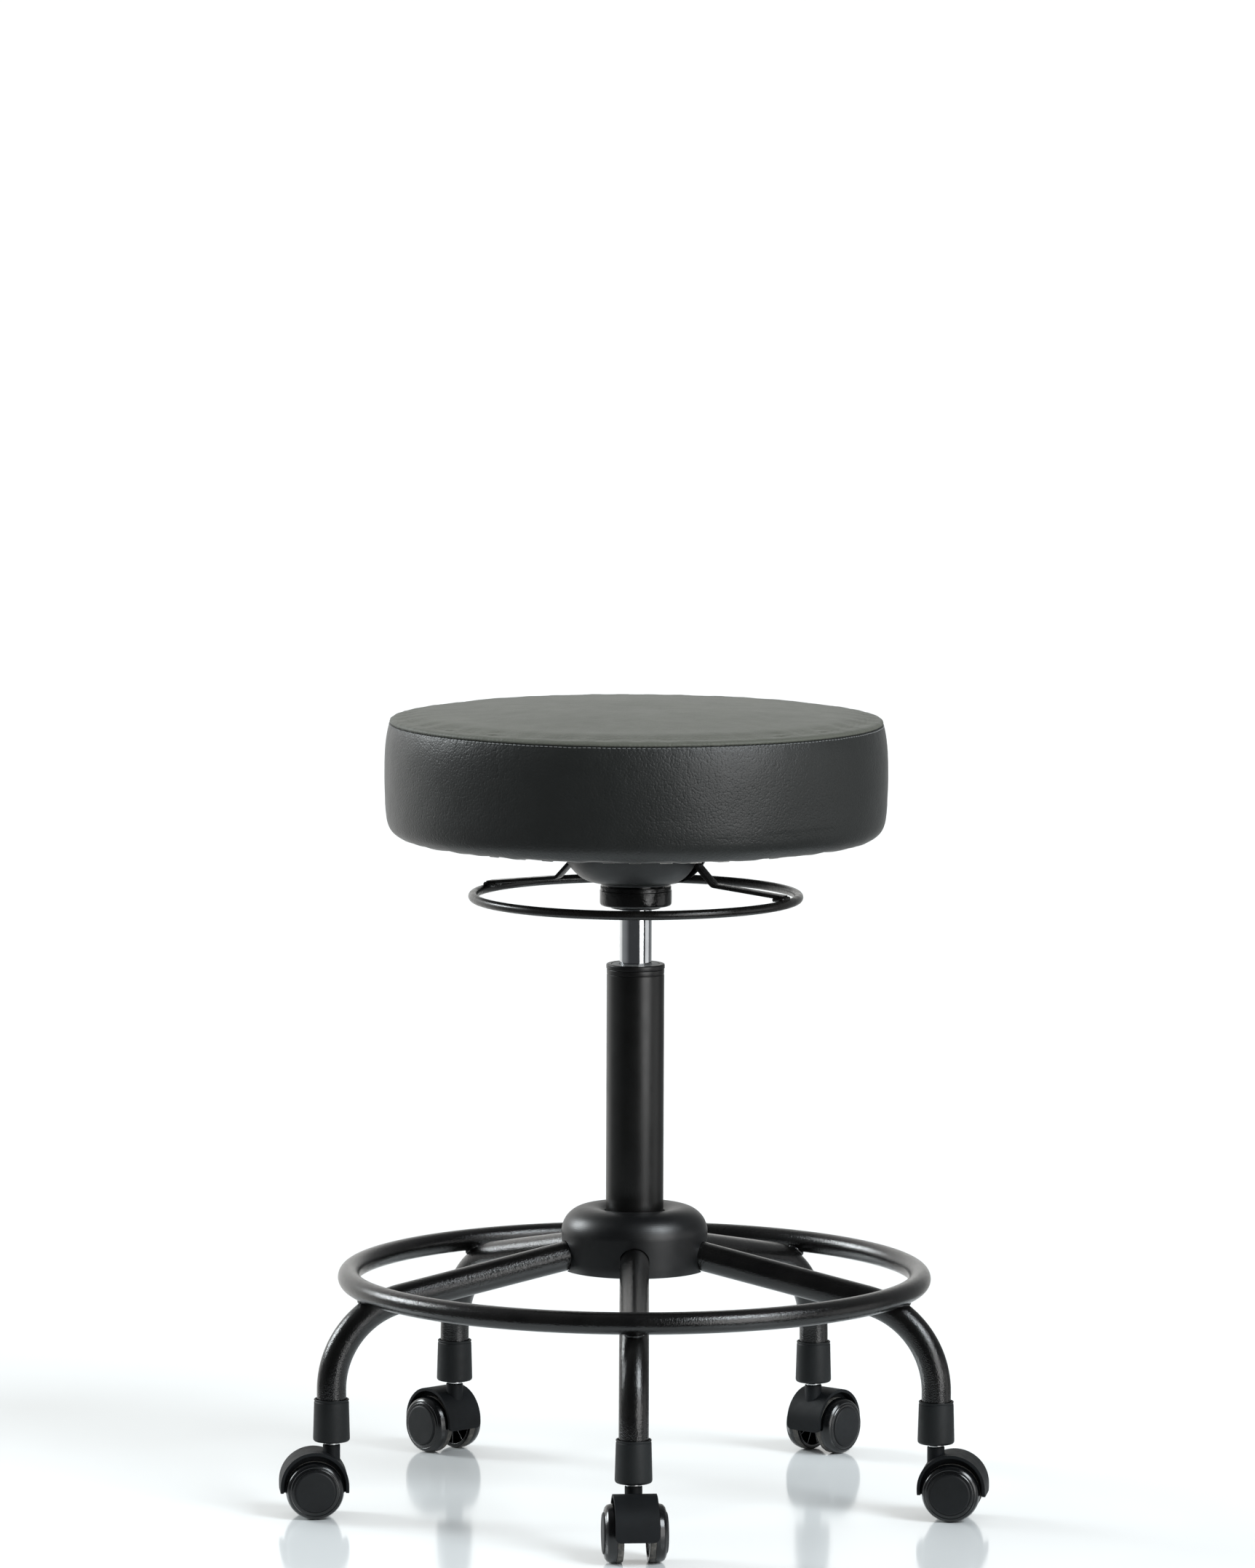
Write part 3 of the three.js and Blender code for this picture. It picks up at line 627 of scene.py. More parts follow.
def make_hub():
    corners = [(25.4, COLUMN_BOTTOM), (HUB_RADIUS, COLUMN_BOTTOM), (HUB_RADIUS, 246), (25.4, 246)]
    sleeve = thing("hub_sleeve", turned(filleted(corners, 0.7, 3, closed=True), 96, closed=True), BLACK_STEEL)
    stand(sleeve, "base", "black_steel", "hub_sleeve")

    bulge = arc(41, 236, 22.5, 22, 0, 90, 20)
    outside = [(62.8, 203.5), (62.95, 212), (63.2, 224)] + bulge
    outside += flowing([bulge[-1], (35.5, 257.4), (30.5, 255.9), (26.4, 253.6)], 1.2)[1:]
    section = filleted(outside + offset(outside, COVER_WALL)[::-1], 0.5, 2, closed=True)
    shell = thing("hub_cover", turned(section, 240, closed=True), COVER_PLASTIC)
    tools = []
    foot, hub = Vector((80, 0, 0)), Vector((42, 0, 0))
    for point in (foot, hub):
        point.z = leg_line()[-1][1] - (point.x - LEG_INNER_END) * math.tan(math.radians(LEG_SLOPE))
    steps = [tuple(foot.lerp(hub, t / 4)) for t in range(5)]
    for i in range(len(SIDES)):
        bore = swept(steps, circle(13.4, 48), (0, 1, 0))
        mouth = slab([(50, -5), (75, -5), (75, 5), (50, 5)], 190, 207)
        tools += [bore.rotated(arm_azimuth(i)), mouth.rotated(arm_azimuth(i))]
    carve(shell, *tools, sharp=40)
    stand(shell, "base", "satin_plastic", "hub_cover")


def make_column():
    tube = filleted(
        [
            (5.6, COLUMN_BOTTOM, 0), (COLUMN_RADIUS, COLUMN_BOTTOM, 0.8), (COLUMN_RADIUS, 461.1, 0.15),
            (24.55, 461.5, 0.1), (24.55, 461.9, 0.1), (COLUMN_RADIUS, 462.3, 0.15),
            (COLUMN_RADIUS, COLUMN_TOP, 0.5), (23.2, COLUMN_TOP, 0.3), (23.2, 208, 0), (5.6, 208, 0),
        ],
        0.2, 3, closed=True,
    )
    tube = thing("column_tube", turned(tube, 128, closed=True), BLACK_STEEL)
    stand(tube, "base", "black_steel", "column_tube")
    bush = filleted(
        [
            (15.2, 392.5, 0.3), (22.7, 392.5, 0.8), (22.7, 466.3, 0), (25.4, 466.3, 0.6), (25.4, 470.5, 1.3),
            (21.2, 470.5, 0.5), (20.8, 469.2, 0.3), (15.2, 469.2, 0),
        ],
        0.3, 4, closed=True,
    )
    bush = thing("guide_bush", turned(bush, 128, closed=True), BUSH_PLASTIC)
    stand(bush, "base", "bush_plastic", "guide_bush")
    liner = [(14.35, 405), (15.1, 405), (15.1, 469.3), (20.6, 469.3), (20.6, 470.3), (14.35, 470.3)]
    liner = turned(filleted(liner, 0.35, 3, closed=True), 128, closed=True)
    stand(thing("guide_liner", liner, LINER_PLASTIC), "base", "bush_plastic")


# ---- Gas lift ---------------------------------------------------------------------------------------------


def make_lift():
    rod = [
        (0, 196), (5, 196, 0.8), (5, 201.9, 0.1), (4.3, 202.2, 0.1), (4.3, 204.2, 0.1), (5, 204.4, 0.1),
        (5, 403.7), (0, 403.7),
    ]
    rod = thing("piston_rod", turned(filleted(rod, 0.3, 3), 48), BARE_STEEL)
    stand(rod, "lift_rod", "bare_steel", "piston_rod")
    bend = [(x, y, 203.2) for x, y in arc(0, 0, 7.1, 7.1, 32, 328, 40)]
    clip = swept(bend, rounded_box(1.8, 0.95, 0.4, 3), (0, 0, 1))
    stand(thing("rod_clip", clip, ZINC), "lift_rod", "bare_steel", "rod_clip")
    cylinder = filleted(
        [
            (5.7, 222, 0.3), (SPINDLE_RADIUS, 222, 1.5), (SPINDLE_RADIUS, 519, 0.5), (13.3, 551, 0.6),
            (3.8, 551, 0), (3.8, 546, 0), (12.2, 543, 0), (12.2, 230, 0), (5.7, 230, 0),
        ],
        0.3, 4, closed=True,
    )
    cylinder = thing("gas_cylinder", turned(cylinder, 128, closed=True), CHROME)
    stand(cylinder, "seat", "chrome", "gas_cylinder")
    button = [(0, 541), (3.2, 541, 0.3), (3.2, 554.7, 0.3), (4.5, 554.7, 0.4), (4.5, 560.2, 1.0), (0, 560.2)]
    button = thing("valve_button", turned(filleted(button, 0.3, 4), 40), BUTTON_RED)
    stand(button, "button", "button_red", "valve_button")


# ---- Seat mechanism ---------------------------------------------------------------------------------------


def bar_window(low, high, reach):
    return slab(rounded_box(reach, 9.5, 0.1, 1), low, high).rotated(RELEASE_TURN)


def make_mechanism():
    socket = filleted(
        [
            (14.6, 519, 0.5), (21.8, 519, 0.6), (21.9, 520.7, 0.3), (26.2, 520.9, 0.6), (31.25, 521.6, 5.2),
            (31.25, 534.4, 0.5), (30.75, 535.0, 0.3), (30.75, 538.5, 0.6), (24, 538.5, 0), (24, 576.7, 0.5),
            (18, 576.7, 0.5), (18, 552, 0), (14.6, 551, 0),
        ],
        0.4, 6, closed=True,
    )
    obj = thing("seat_socket", turned(socket, 144, closed=True), CAST_BLACK)
    stand(carve(obj, bar_window(553.5, 565.6, 48)), "seat", "black_steel", "seat_socket")

    flare = [
        (29.6, 540.2), (31.3, 540.2), (32.1, 541.2), (34.5, 541.6), (40, 542.6), (46.5, 545.3), (53, 550.4),
        (58.6, 557.3), (62.8, 565.2), (65.2, 572.2), (66, 575),
    ]
    outside = [(26, 540.2)] + flowing(flare, 1.4) + [(66, 576.7)]
    section = filleted(outside + offset(outside, COVER_WALL)[::-1], 0.3, 2, closed=True)
    dome = thing("dome_cover", turned(section, 216, closed=True), DOME_PLASTIC)
    stand(carve(dome, bar_window(543.5, 574, 90)), "seat", "matte_plastic", "dome_cover")

    plate = thing("mounting_plate", slab(rounded_box(75, 75, 12, 10), 577, 580), BLACK_STEEL)
    places = [(55, 55), (-55, 55), (-55, -55), (55, -55)]
    holes = [turned([(0, 570), (3.5, 570), (3.5, 590), (0, 590)], 32).moved(x, y) for x, y in places]
    stand(ease(carve(plate, *holes), 0.4), "seat", "black_steel", "mounting_plate")

    head = turned(filleted([(0, 572.7), (4.7, 572.7), (5.75, 573.5), (5.75, 575.9), (0, 575.9)], 0.15, 2), 6)
    washer = turned(filleted([(0, 575.8), (5.8, 575.8), (5.8, 576.9), (0, 576.9)], 0.25, 3), 40)
    shank = turned([(0, 576.8), (3, 576.8), (3, 592), (0, 592)], 24)
    for i, (x, y) in enumerate(places):
        name = f"seat_bolt_{i + 1}"
        bolt = thing(name, (head.rotated(17 * i) + washer + shank).moved(x, y), ZINC, sharp=25)
        stand(bolt, "seat", "zinc_plate", name)


def make_release():
    place = spin(RELEASE_TURN)
    ring = hoop("release_ring", RELEASE_RING, 28, 300, RING_BLACK)
    stand(ring, "release_lever", "ring_black", "release_ring")
    arm = [(55, 562.5), (74, 542.1), (139.4, 534.8)]
    path = [(-x, z) for x, z in reversed(arm)] + arm
    line = [(x, 0, z) for x, z in filleted(path, 5, 8)]
    strip = swept(line, rounded_box(1.5, 6.5, 0.55, 3), (0, 1, 0))
    bar = thing("release_crossbar", strip, RING_BLACK)
    stand(bar, "release_lever", "ring_black", "release_crossbar", place=place)
    welds = None
    for turn in (0, 180):
        half = [(141.2, 3.5), (140.2, 6.9), (136, 7.1), (131, 6.9)]
        corners = [(x, -y) for x, y in reversed(half)] + [(141.3, 0)] + half
        rope = [(x, y, 533.6 if x > 138 else 533.2) for x, y in flowing(corners, 1.1)]
        weld = bead(rope, 1.7, (0, 0, 1), 9.1 + turn, closed=False).rotated(turn)
        welds = weld if welds is None else welds + weld
    stand(thing("release_welds", welds, RING_BLACK), "release_lever", "ring_black", place=place)


# ---- Cushion ----------------------------------------------------------------------------------------------

SIDE_LINE = [
    (178, 581.0), (184, 580.3), (191, 580.05), (198.5, 580.5), (206.5, 582.9), (212.6, 588.0), (216.2, 594.8),
    (217.5, 602.5), (217.7, 616), (217.7, 640), (217.5, 656), (216.9, 667), (215.9, 674.5), (215.1, 678.6),
    (214.6, 680.3), (213.4, 681.0),
]
TOP_LINE = [
    (213.4, 681.0), (214.35, 681.6), (214.7, 682.7), (213.9, 684.2), (211.6, 685.6), (208.2, 686.15),
    (203.6, 685.95), (198.6, 685.6), (194, 685.8), (188, 686.5), (175, 687.6), (150, 689.4), (110, 691.5),
    (60, 693.3), (0, 694),
]
SEAM = np.array([213.6, 681.2])
CAP_MM = 3.5
SWELL_MM = 1.6
HELD_Z, FREE_Z = 586, 602
CORE_RADIUS, MIDDLE_Z = 150, 640


def smaller(points):
    """The pad's points before it is blown up."""
    radius = np.hypot(points[:, 0], points[:, 1])
    result = points.copy()
    result[:, :2] *= (1 - SWELL_MM * np.minimum(1, radius / 60) / np.maximum(radius, 1))[:, None]
    result[:, 2] -= np.where(points[:, 2] > MIDDLE_Z, SWELL_MM, 0)
    return result


def outward(points):
    """Unit vectors out of the pad, near enough."""
    angle = np.arctan2(points[:, 1], points[:, 0])
    out = np.maximum(0, np.hypot(points[:, 0], points[:, 1]) - CORE_RADIUS)
    up = (points[:, 2] - MIDDLE_Z) / 0.8
    length = np.hypot(out, up) + 1e-9
    return np.stack([out * np.cos(angle), out * np.sin(angle), up], axis=1) / length[:, None]


def pad_swell():
    """The pad blown up by Blender's cloth: where its points start and how they move, in millimetres."""
    shrunk = smaller(np.array([(r, 0, z) for r, z in SIDE_LINE + TOP_LINE[1:]], float))
    profile = [(0, 581)] + [(r, z) for r, _, z in shrunk]
    pad = thing("pad_cloth", turned(profile, 180))
    remesh = pad.modifiers.new("voxels", "REMESH")
    remesh.mode = "VOXEL"
    remesh.voxel_size = 6 * MM
    settle(pad)
    start = np.array([v.co for v in pad.data.vertices]) / MM
    radius = np.hypot(start[:, 0], start[:, 1])
    held = pad.vertex_groups.new(name="held")
    seam = np.hypot(radius - SEAM[0] + SWELL_MM, start[:, 2] - SEAM[1] + SWELL_MM)
    for i in range(len(start)):
        grip = 1.0 if start[i, 2] < HELD_Z else 0.85 * max(0, 1 - seam[i] / 7)
        if grip > 0:
            held.add([i], grip, "REPLACE")
    cloth = pad.modifiers.new("cloth", "CLOTH")
    cloth.settings.vertex_group_mass = "held"
    cloth.settings.use_pressure = True
    cloth.settings.uniform_pressure_force = 4
    cloth.settings.effector_weights.gravity = 0
    cloth.settings.bending_stiffness = 2
    scene = bpy.context.scene
    for step in range(1, 21):
        scene.frame_set(step)
    settle(pad)
    scene.frame_set(1)
    move = np.array([v.co for v in pad.data.vertices]) / MM - start
    drop(pad)
    length = np.linalg.norm(move, axis=1)
    return start, move * np.minimum(1, CAP_MM / np.maximum(length, 1e-6))[:, None]


def swelling():
    """A function from points to how far the cover bulges there past the pad's even growth, in millimetres."""
    start, move = pad_swell()
    way = outward(start)
    growth = np.sum(move * way, axis=1)
    free = start[:, 2] > FREE_Z
    side, top = growth[free & (way[:, 2] < 0.7)].mean(), growth[free & (way[:, 2] > 0.9)].mean()
    tree = KDTree(len(start))
    for i, point in enumerate(start):
        tree.insert(point, i)
    tree.balance()

    def at(points):
        points = smaller(points)
        result = np.zeros_like(points)
        for i, point in enumerate(points):
            near = tree.find_n(point, 6)
            weights = np.array([1 / (distance + 2) ** 2 for _, _, distance in near])
            result[i] = weights @ move[[index for _, index, _ in near]] / weights.sum()
        free = np.clip((points[:, 2] - HELD_Z) / (FREE_Z - HELD_Z), 0, 1)
        way = outward(points)
        even = (side + (top - side) * way[:, 2] ** 2)[:, None] * way
        return (result - even) * (free**2 * (3 - 2 * free))[:, None]

    return at


def fold(angle, seed):
    """An uneven wave of pleats round the seat, from about -1 to 1."""
    wave = 0
    for k, share in ((23, 0.45), (41, 0.35), (67, 0.2)):
        phase = 5 * noise.noise(Vector((math.cos(angle) * 1.3, math.sin(angle) * 1.3, seed + k)))
        wave += share * math.sin(k * angle + phase)
    return wave


def cover_relief(points):
    """What sewing and stretching leave in the vinyl: puckers at the seam, dents, and pleats underneath."""
    angle = np.arctan2(points[:, 1], points[:, 0])
    radius = np.hypot(points[:, 0], points[:, 1])
    distance = np.hypot(radius - SEAM[0], points[:, 2] - SEAM[1])
    tuck = -0.22 * np.cos(STITCHES * angle) * np.exp(-((distance / 2.6) ** 2))
    pull = np.zeros(len(points))
    for i, (x, y, z) in enumerate(points):
        slow = noise.noise(Vector((x, y, z)) * 0.011) + 0.4 * noise.noise(Vector((x, y, 1.6 * z)) * 0.03)
        pull[i] = 0.55 * slow * min(1, distance[i] / 30)
        if distance[i] < 40:
            ruck = noise.noise(Vector((math.cos(angle[i]) * 26, math.sin(angle[i]) * 26, distance[i] * 0.05)))
            pull[i] += 0.22 * ruck * math.exp(-distance[i] / 13)
        low = 583.5 - z
        if low > 0 and radius[i] > 170:
            pull[i] += 0.8 * fold(angle[i], 2.0) * min(1, low / 3) ** 1.5
    return outward(points) * (tuck + pull)[:, None]


def covered(profile, swell, steps):
    """Rows of points round a profile, with the pad's swelling and the vinyl's relief."""
    shape = turned(profile, steps)
    shape.points = shape.points + swell(shape.points) + cover_relief(shape.points)
    return shape


def make_cushion():
    steps = STITCHES * 4
    swell = swelling()

    def spacing(point):
        distance = math.hypot(point[0] - SEAM[0], point[1] - SEAM[1])
        return 0.6 if distance < 4 else 1.3 if distance < 14 else 2.4 if point[1] < 600 else 5 + distance / 12

    side = flowing(SIDE_LINE, spacing)
    inner = [(212.2, 680.6), (214.2, 672), (216.4, 655), (216.6, 604), (213, 593), (198, 581.8), (178, 582.2)]
    band = covered(side, swell, steps)
    back = turned(inner, steps)
    top = flowing(TOP_LINE, spacing)
    panel = covered(top, swell, steps)
    under = turned([(0, 684.2), (120, 682.6), (205, 680.8), (212.6, 680.5)], steps)
    band_piece = thing("seat_side_band", lined_band(band, back, steps), VINYL_SIDE, sharp=60)
    stand(band_piece, "seat", "vinyl_side", "seat_side_band")
    panel_piece = thing("seat_top_panel", lined_panel(panel, under, steps), VINYL_TOP_PAINTED_LIGHT, sharp=60)
    stand(panel_piece, "seat", "vinyl_top", "seat_top_panel")
    make_stitches(swell)
    make_foam()


def lined_band(front, back, steps):
    """The cover's outside and a plain inside, joined along both edges."""
    both = front + back
    rows = np.arange(len(both.points)).reshape(-1, steps).tolist()
    edge = len(front.points) // steps
    joins = band_faces(rows[edge - 1 : edge + 1], False) + band_faces([rows[-1], rows[0]], False)
    return Shape(both.points, both.faces + joins)


def lined_panel(panel, under, steps):
    """The top cover with a plain underside, joined along the seam."""
    both = under + panel
    edge = len(under.points)
    rim, seam = list(range(edge - steps, edge)), list(range(edge, edge + steps))
    return Shape(both.points, both.faces + band_faces([rim, seam], False))


def make_stitches(swell):
    """One short thread between each pair of needle holes, just below the seam."""
    count = 9
    points, faces = [], []
    for i in range(STITCHES):
        middle = (i + 0.5) * TAU / STITCHES
        height = 679.7 + 0.12 * math.sin(7 * i)
        line = []
        for k in range(count):
            t = k / (count - 1) - 0.5
            angle = middle + t * 0.72 * TAU / STITCHES
            radius = 215.0 - 0.75 * (2 * t) ** 4
            line.append((radius * math.cos(angle), radius * math.sin(angle), height))
        stitch = swept(line, circle(0.33, 6), (0, 0, 1), scales=[0.5] + [1] * (count - 2) + [0.5])
        base = len(points) * len(stitch.points)
        points.append(stitch.points)
        faces += [tuple(j + base for j in face) for face in stitch.faces]
    points = np.vstack(points)
    stand(thing("seat_stitches", Shape(points + swell(points), faces), THREAD), "seat", "vinyl_side")


def make_foam():
    profile = [
        (0, 593.8), (210, 593.8), (215.6, 600), (215.9, 655), (213, 676), (209, 679.8), (150, 681.2), (0, 683),
    ]
    shape = turned(filleted(profile, 5, 3), 180)
    for i, point in enumerate(shape.points):
        shape.points[i] *= 1 + 0.0012 * noise.noise(Vector(point) * 0.05)
    pad = thing("seat_foam", shape, FOAM)
    stand(pad, "seat", "foam", "seat_foam")


def make_underside():
    """The dust cover stapled over the wrapped edge."""
    steps = 240
    line = flowing([(24, 580.75), (60, 580.6), (104, 580.4), (140, 579.9), (172, 579.3), (181, 579.0)], 6)
    hem = [(182.6, 578.8), (183.4, 579.1), (182.4, 579.5)]
    back = [(r, z + 0.35) for r, z in reversed(line[:-1])]
    cloth = turned((line + hem + back)[::-1], steps, closed=True)
    for i, (x, y, z) in enumerate(cloth.points):
        radius = math.hypot(x, y)
        slack = max(0, min(1, (radius - 112) / 30))
        wave = noise.noise(Vector((x, y, 0)) * 0.022) + 0.35 * fold(math.atan2(y, x), 6.0) * (radius / 183) ** 6
        cloth.points[i, 2] += 0.55 * slack * wave
    cloth.faces = [face[::-1] for face in cloth.faces]
    obj = thing("dust_cover", cloth, DUST_CLOTH, sharp=70)
    stand(obj, "seat", "dust_cloth", "dust_cover")
    staples = None
    wire = filleted([(-5, 1.8), (-5, 0), (5, 0), (5, 1.8)], 0.5, 4)
    count = 44
    for i in range(count):
        line = [(180.2, y, 577.9 + z) for y, z in wire]
        staple = swept(line, rounded_box(0.3, 0.45, 0.12, 2), (1, 0, 0))
        staple = staple.rotated(i * 360 / count + 1.7 * noise.noise(Vector((i * 1.3, 0, 0))))
        staples = staple if staples is None else staples + staple
    stand(thing("seat_staples", staples, ZINC), "seat", "zinc_plate")


# ---- Casters ----------------------------------------------------------------------------------------------

HOOD_BOTTOM = 21.8
HOOD_Z = 28.3


def hood_line(radius, bottom, count=44):
    """The hood's section from its front edge over the wheels to the back, at one place across."""
    arch = arc(TRAIL, HOOD_Z, radius, radius, 0, 180, count)
    legs = [bottom + (HOOD_Z - bottom) * t / 4 for t in range(4)]
    return [(TRAIL + radius, z) for z in legs] + arch + [(TRAIL - radius, z) for z in reversed(legs)]


def hood_shell():
    half, corner, radius = 18.5, 4.5, 28.15
    places = [half * math.sin(math.radians(90 * t / 12)) for t in range(-12, 13)]
    rows = []
    for y in places:
        over = max(0, abs(y) - (half - corner))
        bottom = HOOD_BOTTOM + corner - math.sqrt(max(0, corner**2 - over**2))
        rows.append([(x, y, z) for x, z in hood_line(radius, bottom)])
    count = len(rows[0])
    faces = [
        (i * count + j, (i + 1) * count + j, (i + 1) * count + j + 1, i * count + j + 1)
        for i in range(len(rows) - 1)
        for j in range(count - 1)
    ]
    shell = thing("hood", Shape(rows, faces), HOOD_PLASTIC)
    solid = shell.modifiers.new("wall", "SOLIDIFY")
    solid.thickness = 2.7 * MM
    solid.offset = 0
    settle(shell)
    return ease(shell, 1.15, 4, 50)


def make_housing():
    shell = hood_shell()
    outline = filleted(hood_line(27.6, HOOD_BOTTOM), 0.8, 2, closed=True)
    count = len(outline)
    points = [(x, -9.5, z) for x, z in outline] + [(x, 9.5, z) for x, z in outline]
    rows = [list(range(count)), list(range(count, 2 * count))]
    faces = [face[::-1] for face in band_faces(rows, False)] + [rows[0], rows[1][::-1]]
    web = ease(thing("web", Shape(points, faces), HOOD_PLASTIC), 0.8, 3, 50)
    boss = [(0, 34.5), (7.5, 34.5, 0.5), (7.5, 62.2, 0.9), (5.95, 62.2, 0.4), (5.95, 60, 0), (0, 60)]
    axle = filleted([(0, -10.3), (8, -10.3, 0.8), (8, 10.3, 0.8), (0, 10.3)], 0.8, 4)
    posts = turned(filleted(boss, 0.4, 4), 56)
    posts += turned(axle, 56).rotated(-90, "X").moved(TRAIL, 0, WHEEL_RADIUS)
    posts = thing("posts", posts, HOOD_PLASTIC)
    return joined(shell, web, posts)


def joined(*objs):
    with bpy.context.temp_override(active_object=objs[0], selected_editable_objects=list(objs)):
        bpy.ops.object.join()
    return objs[0]


def make_wheel():
    """A wheel on the +Y side: soft tread, glossy rim, proud cap, ribs on the inner face."""
    profile = filleted(
        [
            (0, 21, 0), (4.4, 21, 0), (4.4, 10.9, 0.4), (8, 10.9, 0.6), (8.6, 17.5, 0.8), (20.2, 17.5, 0.8),
            (20.8, 10.75, 0.6), (24.3, 10.75, 0.9), (25, 12.4, 0.6), (25, 16.0, 0.12), (24.6, 16.25, 0.1),
            (25, 16.5, 0.2), (24.95, 19.5, 2), (23.9, 23.6, 3.5), (21.5, 25.5, 1.2), (20.9, 25.2, 0.3),
            (20.3, 25.35, 0.3), (19.6, 26.0, 0.6), (18.1, 26.15, 0.2), (17.7, 25.9, 0.15), (17.5, 26.9, 0.5),
            (16.4, 27.4, 0.8), (0, 27.3, 0),
        ],
        0.4, 4,
    )
    disc = turned(profile, 112)
    disc.painted(1, lambda x, y, z: z < 16.2 and math.hypot(x, y) > 24.1)
    disc.painted(2, lambda x, y, z: z > 25.95 and math.hypot(x, y) < 17.75)
    rib = swept([(r, 0, 14.6) for r in (8.2, 12, 16, 20.6)], rounded_box(0.65, 3.1, 0.3, 2), (0, 0, 1))
    for k in range(9):
        disc = disc + rib.rotated(40 * k)
    return thing("wheel", disc.rotated(-90, "X"), WHEEL_NYLON, TREAD, CAP_PLASTIC, sharp=30)


def make_casters():
    housing, wheel = make_housing(), make_wheel()
    stem = filleted(
        [
            (0, 34.8), (5.5, 34.8, 0.5), (5.5, 62.5, 0.2), (6.9, 62.5, 0.3), (7.1, 63.4, 0.4), (6.9, 64.7, 0.3),
            (5.5, 64.8, 0.2), (5.5, 90, 0.3), (4.8, 90.6, 0.2), (4.8, 92.6, 0.2), (5.5, 93.2, 0.3),
            (5.5, 96, 0.9), (0, 96),
        ],
        0.3, 3,
    )
    stem = thing("stem", turned(stem, 48), BARE_STEEL)
    pin = turned(filleted([(0, -20), (4, -20, 0.6), (4, 20, 0.6), (0, 20)], 0.5, 3), 40)
    pin = thing("pin", pin.rotated(-90, "X"), BARE_STEEL)
    hub = Matrix.Translation((TRAIL * MM, 0, WHEEL_RADIUS * MM))
    for i, side in enumerate(SIDES):
        place, body = caster_place(i), f"caster_{side}"
        for part, kind, slot, spot in (
            (housing, "housing", "matte_plastic", place),
            (stem, "stem", "bare_steel", place),
            (pin, "axle", "bare_steel", place @ hub),
        ):
            name = f"caster_{kind}_{side}"
            stand(twin(part, name), body, slot, name, place=spot)
        for hand, turn in (("left", 0), ("right", 180)):
            name = f"wheel_{hand}_{side}"
            roll = Matrix.Rotation(math.radians(37 * i + 11 * turn), 4, "Y")
            spot = place @ hub @ spin(turn) @ roll
            stand(twin(wheel, name), f"{hand}_wheel_{side}", "wheel_nylon", name, place=spot)
    drop(housing, wheel, stem, pin)


def paint_kept_nodes():
    """The CAD nodes that stay, all inside, get finished materials."""
    for name, material in (("gas_piston", ZINC), ("thrust_bearing", BARE_STEEL), ("seat_board", PLYWOOD)):
        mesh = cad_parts[name].data
        mesh.materials.clear()
        mesh.materials.append(material)


# ---- Studio -----------------------------------------------------------------------------------------------


def far_light(name, azimuth, elevation, width, power, color):
    """A soft light far away, this wide in degrees. Azimuth 0 is behind the camera, 90 to its right."""
    turn, tilt = math.radians(azimuth), math.radians(elevation)
    away = Vector((math.sin(turn) * math.cos(tilt), -math.cos(turn) * math.cos(tilt), math.sin(tilt)))
    light = bpy.data.lights.new(name, "SUN")
    light.energy = power
    light.color = color
    light.angle = math.radians(width)
    obj = bpy.data.objects.new(name, light)
    obj.rotation_euler = away.to_track_quat("Z", "Y").to_euler()
    bpy.context.scene.collection.objects.link(obj)
    return obj


def floor_ring(name, inner, outer, material):
    """A flat ring of floor, in metres."""
    shape = turned([(outer / MM, 0), (inner / MM, 0)], 96)
    ring = thing(name, shape, material)
    return ring


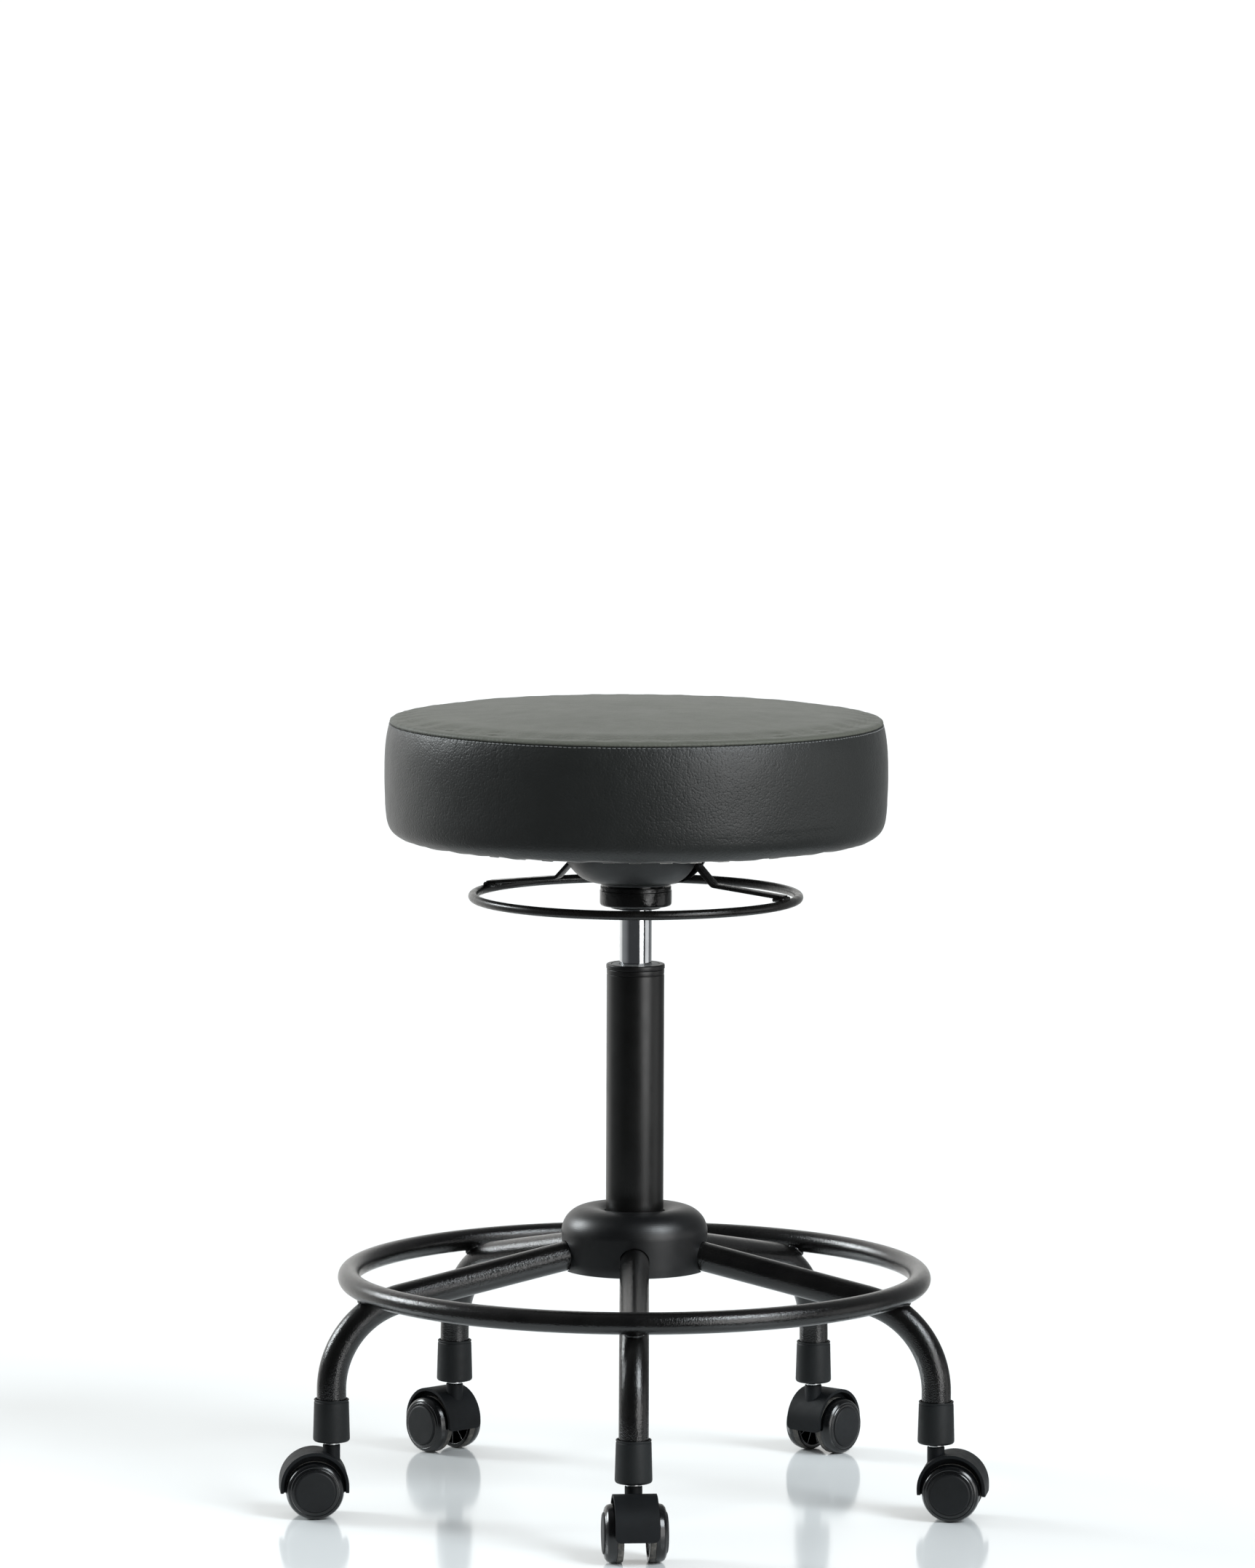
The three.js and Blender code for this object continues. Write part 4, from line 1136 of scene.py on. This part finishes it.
def make_studio():
    scene = bpy.context.scene
    scene.view_settings.view_transform = "Standard"
    world = bpy.data.worlds.new("studio")
    scene.world = world
    world.use_nodes = True
    nodes, links = world.node_tree.nodes, world.node_tree.links
    way = nodes.new("ShaderNodeTexCoord")
    toward = nodes.new("ShaderNodeVectorMath")
    toward.operation = "DOT_PRODUCT"
    toward.inputs[1].default_value = (-0.4, 0.9165, 0)
    span = nodes.new("ShaderNodeMapRange")
    span.inputs["From Min"].default_value = -1
    ramp = nodes.new("ShaderNodeValToRGB")
    links.new(way.outputs["Generated"], toward.inputs[0])
    links.new(toward.outputs["Value"], span.inputs["Value"])
    links.new(span.outputs["Result"], ramp.inputs["Fac"])
    front, side = (0.05, 0.052, 0.055), (0.2, 0.205, 0.21)
    back_side, back = (0.27, 0.28, 0.28), (1.05, 1.05, 1.03)
    set_stops(ramp, [(0.325, front), (0.575, side), (0.81, back_side), (0.94, back)])
    links.new(ramp.outputs["Color"], nodes["Background"].inputs["Color"])

    floor = Paint("floor_white", (0.78, 0.8, 0.805), 0.12)
    floor.color(floor.noise(1.5, 3), (0.3, (0.77, 0.8, 0.807)), (0.7, (0.79, 0.82, 0.827)))
    floor.roughness(floor.noise(3), 0.09, 0.13)
    edge = 0.62
    floor_ring("floor_near", 0.001, edge, floor.material)
    far = floor_ring("floor_far", edge, 400, floor.material)
    far.visible_glossy = far.visible_shadow = False  # gloss and low lights come from the room beyond it

    far_light("left", -113, 26, 24, 2.4, (0.93, 0.98, 1))
    far_light("front_right", 52, 41, 26, 2.5, (0.9, 0.96, 1))
    fill = far_light("overhead_fill", 0, 88, 140, 1.05, (1, 1, 1))
    fill.visible_glossy = False
    far_light("right", 90, -2, 36, 0.22, (1, 1, 1))
    far_light("low_front_right", 44, 8, 40, 1.4, (1, 1, 1))


FOCAL_PIXELS = 11723.66
PHOTO_HEIGHT = 2156


def make_camera():
    """The photograph's camera, from the fit of the model's outlines to it."""
    pitch, roll, yaw = math.radians(5.929), math.radians(0.216), math.radians(-0.059)
    ahead = Vector((math.sin(yaw) * math.cos(pitch), math.cos(yaw) * math.cos(pitch), -math.sin(pitch)))
    right = Vector((math.cos(yaw), -math.sin(yaw), 0))
    right = right * math.cos(roll) + right.cross(ahead) * math.sin(roll)
    above = right.cross(ahead)
    axes = Matrix((right, above, -ahead)).transposed().to_4x4()
    camera = bpy.data.cameras.new("camera")
    camera.sensor_width = 36
    camera.lens = FOCAL_PIXELS / PHOTO_HEIGHT * camera.sensor_width
    camera.clip_end = 900
    obj = bpy.data.objects.new("camera", camera)
    obj.matrix_world = Matrix.Translation((0, -7.31518, 1.38924)) @ axes
    bpy.context.scene.collection.objects.link(obj)
    bpy.context.scene.camera = obj


make_legs()
make_sleeves()
make_foot_ring()
make_hub()
make_column()
make_lift()
make_mechanism()
make_release()
make_cushion()
make_underside()
make_casters()
paint_kept_nodes()
make_studio()
make_camera()
